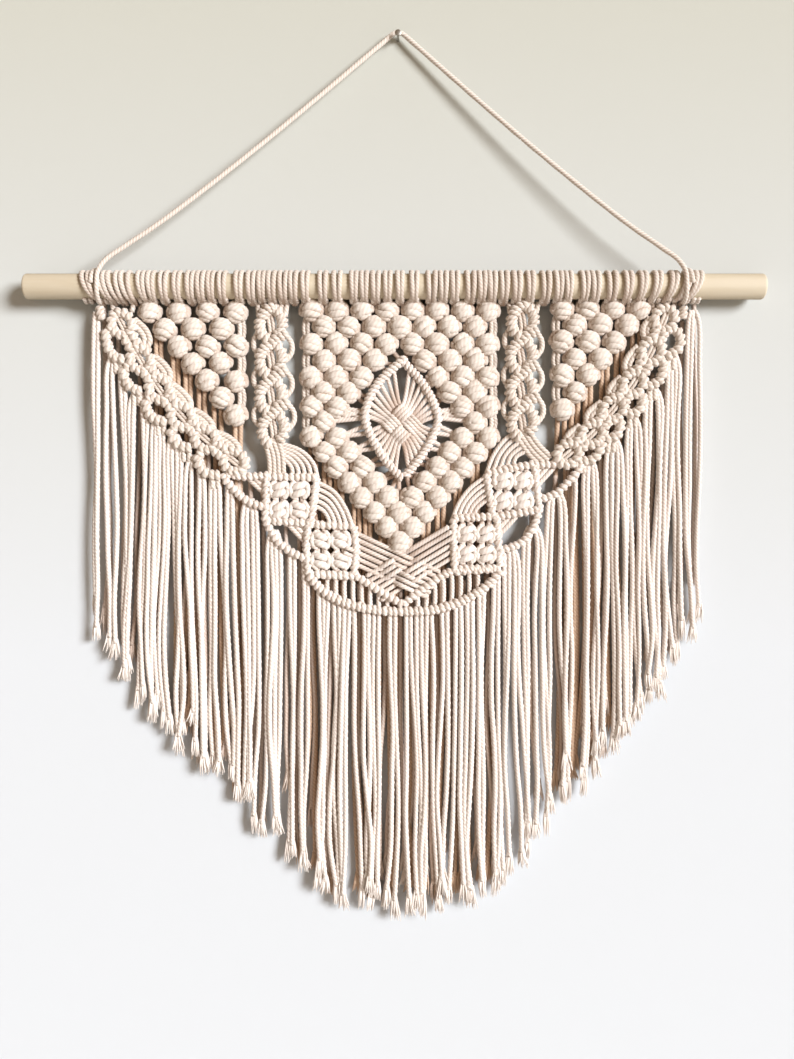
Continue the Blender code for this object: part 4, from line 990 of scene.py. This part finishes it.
# %% The border's pieces
def border_piece(name, finish, *parts):
    """One piece from several parts, each a maker and what it is given after the cords."""
    cords = Cords()
    for maker, *given in parts:
        maker(cords, *given)
    cords.piece(name, finish, "knotted_border")


for side in ("left", "right"):
    border_piece(f"{side}_band", white_cotton, (band, *BANDS[side]))
    border_piece(f"{side}_braid", white_cotton, (braid, *BRAIDS[side]))
border_piece("knotted_squares", painted_lit_cotton, *((square, *rows) for rows in SQUARES))
lenses, fans = [(lens, *rows) for rows in LENSES], [(fan, *rows) for rows in FANS]
border_piece("lenses_fans_and_foot", painted_lit_cotton, *lenses, *fans, (foot,))

# %% [markdown]
# ## The fringe
# The cords' loose ends hang from the border's lower edge, and more hang behind from the panels. They were
# cut to a wide point and combed, so each drifts a little and ends in a tuft of loose fibres. Hair would give
# finer ends but no twist, so strands are laid as all other cords are, and only the tufts are thin and plain.
# The two tables give where a strand starts and ends, by how far across it hangs.

# %% Fringe tables
BORDER_EDGE = (
    (-269, 250), (-261, 252), (-257, 276), (-246, 293), (-238, 307), (-231, 320), (-220, 330), (-211, 345),
    (-200, 355), (-190, 369), (-178, 378), (-166, 391), (-152, 396), (-143, 407), (-131, 416), (-117, 423),
    (-113, 438), (-105, 452), (-94, 462), (-82, 469), (-79, 481), (-67, 496), (-50, 506), (-18, 514),
    (4, 515), (34, 513), (60, 504), (79, 492), (90, 478), (94, 464), (109, 455), (118, 443), (124, 426),
    (138, 411), (150, 401), (160, 388), (172, 380), (182, 367), (193, 363), (203, 347), (214, 340),
    (221, 324), (230, 315), (237, 300), (247, 284), (251, 268), (253, 252), (267, 247),
)
LOOSE_ENDS = (
    (-269, 526), (-252, 561), (-237, 576), (-214, 605), (-197, 627), (-179, 649), (-155, 657), (-144, 683),
    (-128, 704), (-115, 709), (-99, 723), (-78, 744), (-71, 756), (-50, 771), (-1, 776), (28, 777),
    (69, 765), (100, 747), (108, 721), (132, 702), (143, 677), (164, 667), (188, 635), (217, 599),
    (238, 575), (250, 547), (268, 514),
)
LEFT_PANEL_EDGE = ((-218, 250), (-205, 263), (-192, 283), (-179, 296), (-167, 310), (-153, 327), (-137, 338))
RIGHT_PANEL_EDGE = ((139, 338), (154, 325), (165, 311), (177, 297), (190, 281), (202, 266), (217, 250))
CENTRE_PANEL_EDGE = (
    (-80, 362), (-62, 384), (-40, 408), (-20, 434), (2, 452), (24, 434), (44, 408), (66, 384), (84, 362),
)
IN_FRONT, BEHIND = (11.6, 9.9, 0.0), (6.0, 3.2, 9.0)  # out at the top and lower down, how much shorter
# edge, first and last strand, how many, and the three above
FRINGES = {
    "fringe_left": (BORDER_EDGE, -269, -158, 25, *IN_FRONT),
    "fringe_bottom": (BORDER_EDGE, -151, 157, 57, *IN_FRONT),
    "fringe_right": (BORDER_EDGE, 164, 267, 23, *IN_FRONT),
    "back_fringe_left": (LEFT_PANEL_EDGE, -216, -140, 12, *BEHIND),
    "back_fringe_centre": (CENTRE_PANEL_EDGE, -78, 82, 25, *BEHIND),
    "back_fringe_right": (RIGHT_PANEL_EDGE, 142, 215, 12, *BEHIND),
}
TUFT, TUFT_FIBRES, FIBRE = 15.0, 18, 1.5
STRAND_SHARES = (0.12, 0.25, 0.4, 0.55, 0.7, 0.85, 1.0)
NEAREST_WALL = 3.2
STRAND_HOLLOW, STRAND_RING = 0.87, 2.1
DEEP_GAP = 4.7  # a wider gap shows another strand behind
UNDER_OUTS, UNDER_SHADE = (5, 4.5), (0.25, 0.6)
GATHER_FROM = 100.0  # strands further than this from the middle hang in fours from the bands' loops

# %% A strand's drift and its tuft
def sway(x, share):
    """How far a strand has drifted sideways and out at a share of its length."""
    aside = 2.2 * sin(x * 0.043 + 2.6 * share) + 1.1 * sin(x * 0.11 + 1.7 + 4.0 * share)
    return aside * share, 0.9 * sin(x * 0.9 + 3.0 * share) * share


def tuft(cords, x, drop, out, length, shade):
    """Loose fibres that spread from the end of a strand."""
    spread, side = vary(0.5, 1.2), vary(-1.5, 1.5)
    for n in range(TUFT_FIBRES):
        aside = (n / (TUFT_FIBRES - 1) - 0.5) * 2
        reach = length * vary(0.6, 1.05)
        fan_x = side + aside * spread * 4.6 + vary(-0.8, 0.8)
        deep = max(1.4 - out, vary(-2.2, 2.2))
        middle = (x + aside * 2.1 + fan_x * 0.25, drop + reach * 0.4, out + deep * 0.7)
        rows = ((x + aside * 1.7, drop - 4, out + deep * 0.4), middle, (x + fan_x, drop + reach, out + deep))
        lit = shade * vary(0.85, 1.15)
        cords.lay(place(rows), size=FIBRE, step=8.0, hollow=1.0, taper=(1, 1, 0.35), shade=lit)


def strand_places(first, last, count):
    """Uneven places for strands, close together in twos and fours."""
    spaces = 0.85 + random.exponential(0.1, count - 1)
    spaces[1::2] += random.choice([0, 0.2, 0.5, 0.9, 1.2], len(spaces[1::2]))
    return spaced(first, last, spaces)

# %% One strand
def strand(cords, x, head, end, outs, shade=1.0):
    """One strand from its head's rows down to its tuft, at outs above and below."""
    rows, start = list(head), head[-1][1]
    wobble, lean = vary(-2.8, 2.8), min(8.0, max(-8.0, random.normal(0, 3.4)))
    near = vary(-1.8, 1.4)
    wave, phase = vary(1.0, 6.0), vary(0, 2 * pi)
    for share in STRAND_SHARES:
        aside, out = sway(x, share)
        aside += wobble * sin(6 * share + x) * min(1.0, share * 3) + lean * share
        aside += wave * sin(9 * share + phase) * max(0.0, share - 0.45)  # looser towards the end
        out += between(*outs, min(1.0, share * 2)) + near * min(1.0, share * 4)
        rows.append((x + aside, between(start, end, share), max(NEAREST_WALL, out)))
    size = CORD * vary(0.88, 1.07)
    cords.lay(place(rows), size=size, hollow=STRAND_HOLLOW, step=STRAND_RING, shade=shade)
    tuft(cords, rows[-1][0], end, rows[-1][2], TUFT * vary(0.8, 1.2), shade)

# %% The fringes
def fringe(cords, edge, first, last, count, top_out, low_out, short):
    places = strand_places(first, last, count)
    for n, x in enumerate(places):
        start = at_x(edge, x)
        end = at_x(LOOSE_ENDS, x) - short - min(30.0, random.exponential(8.0)) - TUFT * 0.5
        head = [(x, start - 5, top_out - 0.6), (x, start + 3, top_out)]
        if abs(x) > GATHER_FROM and not short:
            left = max(0, (n + 2) // 4 * 4 - 2) if x < 0 else n // 4 * 4
            right = (n + 2) // 4 * 4 + 2 if x < 0 else left + 4
            middle = float(np.mean(places[left:right]))
            high = at_x(edge, middle)
            head = [(middle + (x - middle) * 0.35, high - 4, top_out - 0.6),
                    (x - (x - middle) * 0.2, high + 4, top_out), (x, max(start, high) + 15, top_out)]
        strand(cords, x, head, end, (top_out, low_out))
        if not short and n + 1 < count and places[n + 1] - x > DEEP_GAP:
            x = (x + places[n + 1]) / 2
            head = [(x, start - 22, 6), (x, start, 5)]
            strand(cords, x, head, end - vary(4, 40), UNDER_OUTS, shade=vary(*UNDER_SHADE))


for name, row in FRINGES.items():
    cords = Cords()
    fringe(cords, *row)
    finish = shaded_cotton if name.startswith("back") else painted_lit_cotton
    cords.piece(name + "_strands", finish, name)

# %% [markdown]
# ## The room
# The wall is a stage piece just behind the hanging, white and matt. From behind it is see-through, so that
# the back of the hanging can be looked at. A pale floor lies well below. Soft light comes from a window on
# the right. An area light would fade across the wall, so a wide sun stands for the window.

# %% Wall and floor
def stage_plane(name, size, location, rotation, material):
    bpy.ops.object.select_all(action="DESELECT")
    bpy.ops.mesh.primitive_plane_add(size=size, location=location, rotation=rotation)
    plane = bpy.context.object
    plane.name = name
    plane.data.materials.append(material)


def wall_paint(low_colour, shaded_high_colour):
    """Paint that turns from one colour to another up to the nail, darker up high as painted shade, and is
    see-through from behind.
    """
    finish = Finish("wall_paint", roughness=0.95)
    height = finish.add("ShaderNodeSeparateXYZ", None, {0: finish.spot()}, output="Y")
    share = finish.add("ShaderNodeMapRange", None, {"Value": height, "From Min": -0.15, "From Max": 0.43})
    finish.surface(Base_Color=finish.mix(share, (*low_colour, 1), (*shaded_high_colour, 1)))
    behind = finish.add("ShaderNodeNewGeometry", output="Backfacing")
    clear = finish.add("ShaderNodeBsdfTransparent")
    shader = Wire(finish, finish.shader.outputs[0])
    both = finish.add("ShaderNodeMixShader", None, {0: behind, 1: shader, 2: clear})
    finish.join(finish.tree.nodes["Material Output"].inputs["Surface"], both)
    return finish.material


white_wall = wall_paint((0.65, 0.685, 0.725), (0.545, 0.555, 0.51))
pale_floor = Finish("floor_paint", roughness=0.95).surface(Base_Color=(0.82, 0.81, 0.79, 1))
stage_plane("wall", 6.0, (0, 0.0005, -0.4), (radians(90), 0, 0), white_wall)
stage_plane("floor", 8.0, (0, 0, -1.6), (0, 0, 0), pale_floor)
print("wall and floor in place")

# %% Light
window = bpy.data.lights.new("window", "SUN")
window.energy, window.angle = 3.75, radians(22)
window.color = (0.975, 0.985, 1.0)
lamp = bpy.data.objects.new("window", window)
lamp.location = (2.8, -2.7, 0.45)
lamp.rotation_euler = (Vector((0, 0, -0.4)) - Vector(lamp.location)).to_track_quat("-Z", "Y").to_euler()
bpy.context.collection.objects.link(lamp)
world = bpy.data.worlds.new("room")
world.use_nodes = True
background = world.node_tree.nodes["Background"].inputs
background["Color"].default_value, background["Strength"].default_value = (1.0, 0.73, 0.49, 1), 0.29
bpy.context.scene.world = world
bpy.context.scene.view_settings.view_transform = "Standard"
bpy.context.scene.view_settings.look = "Medium High Contrast"
print("window at", tuple(lamp.location), "strength", window.energy)
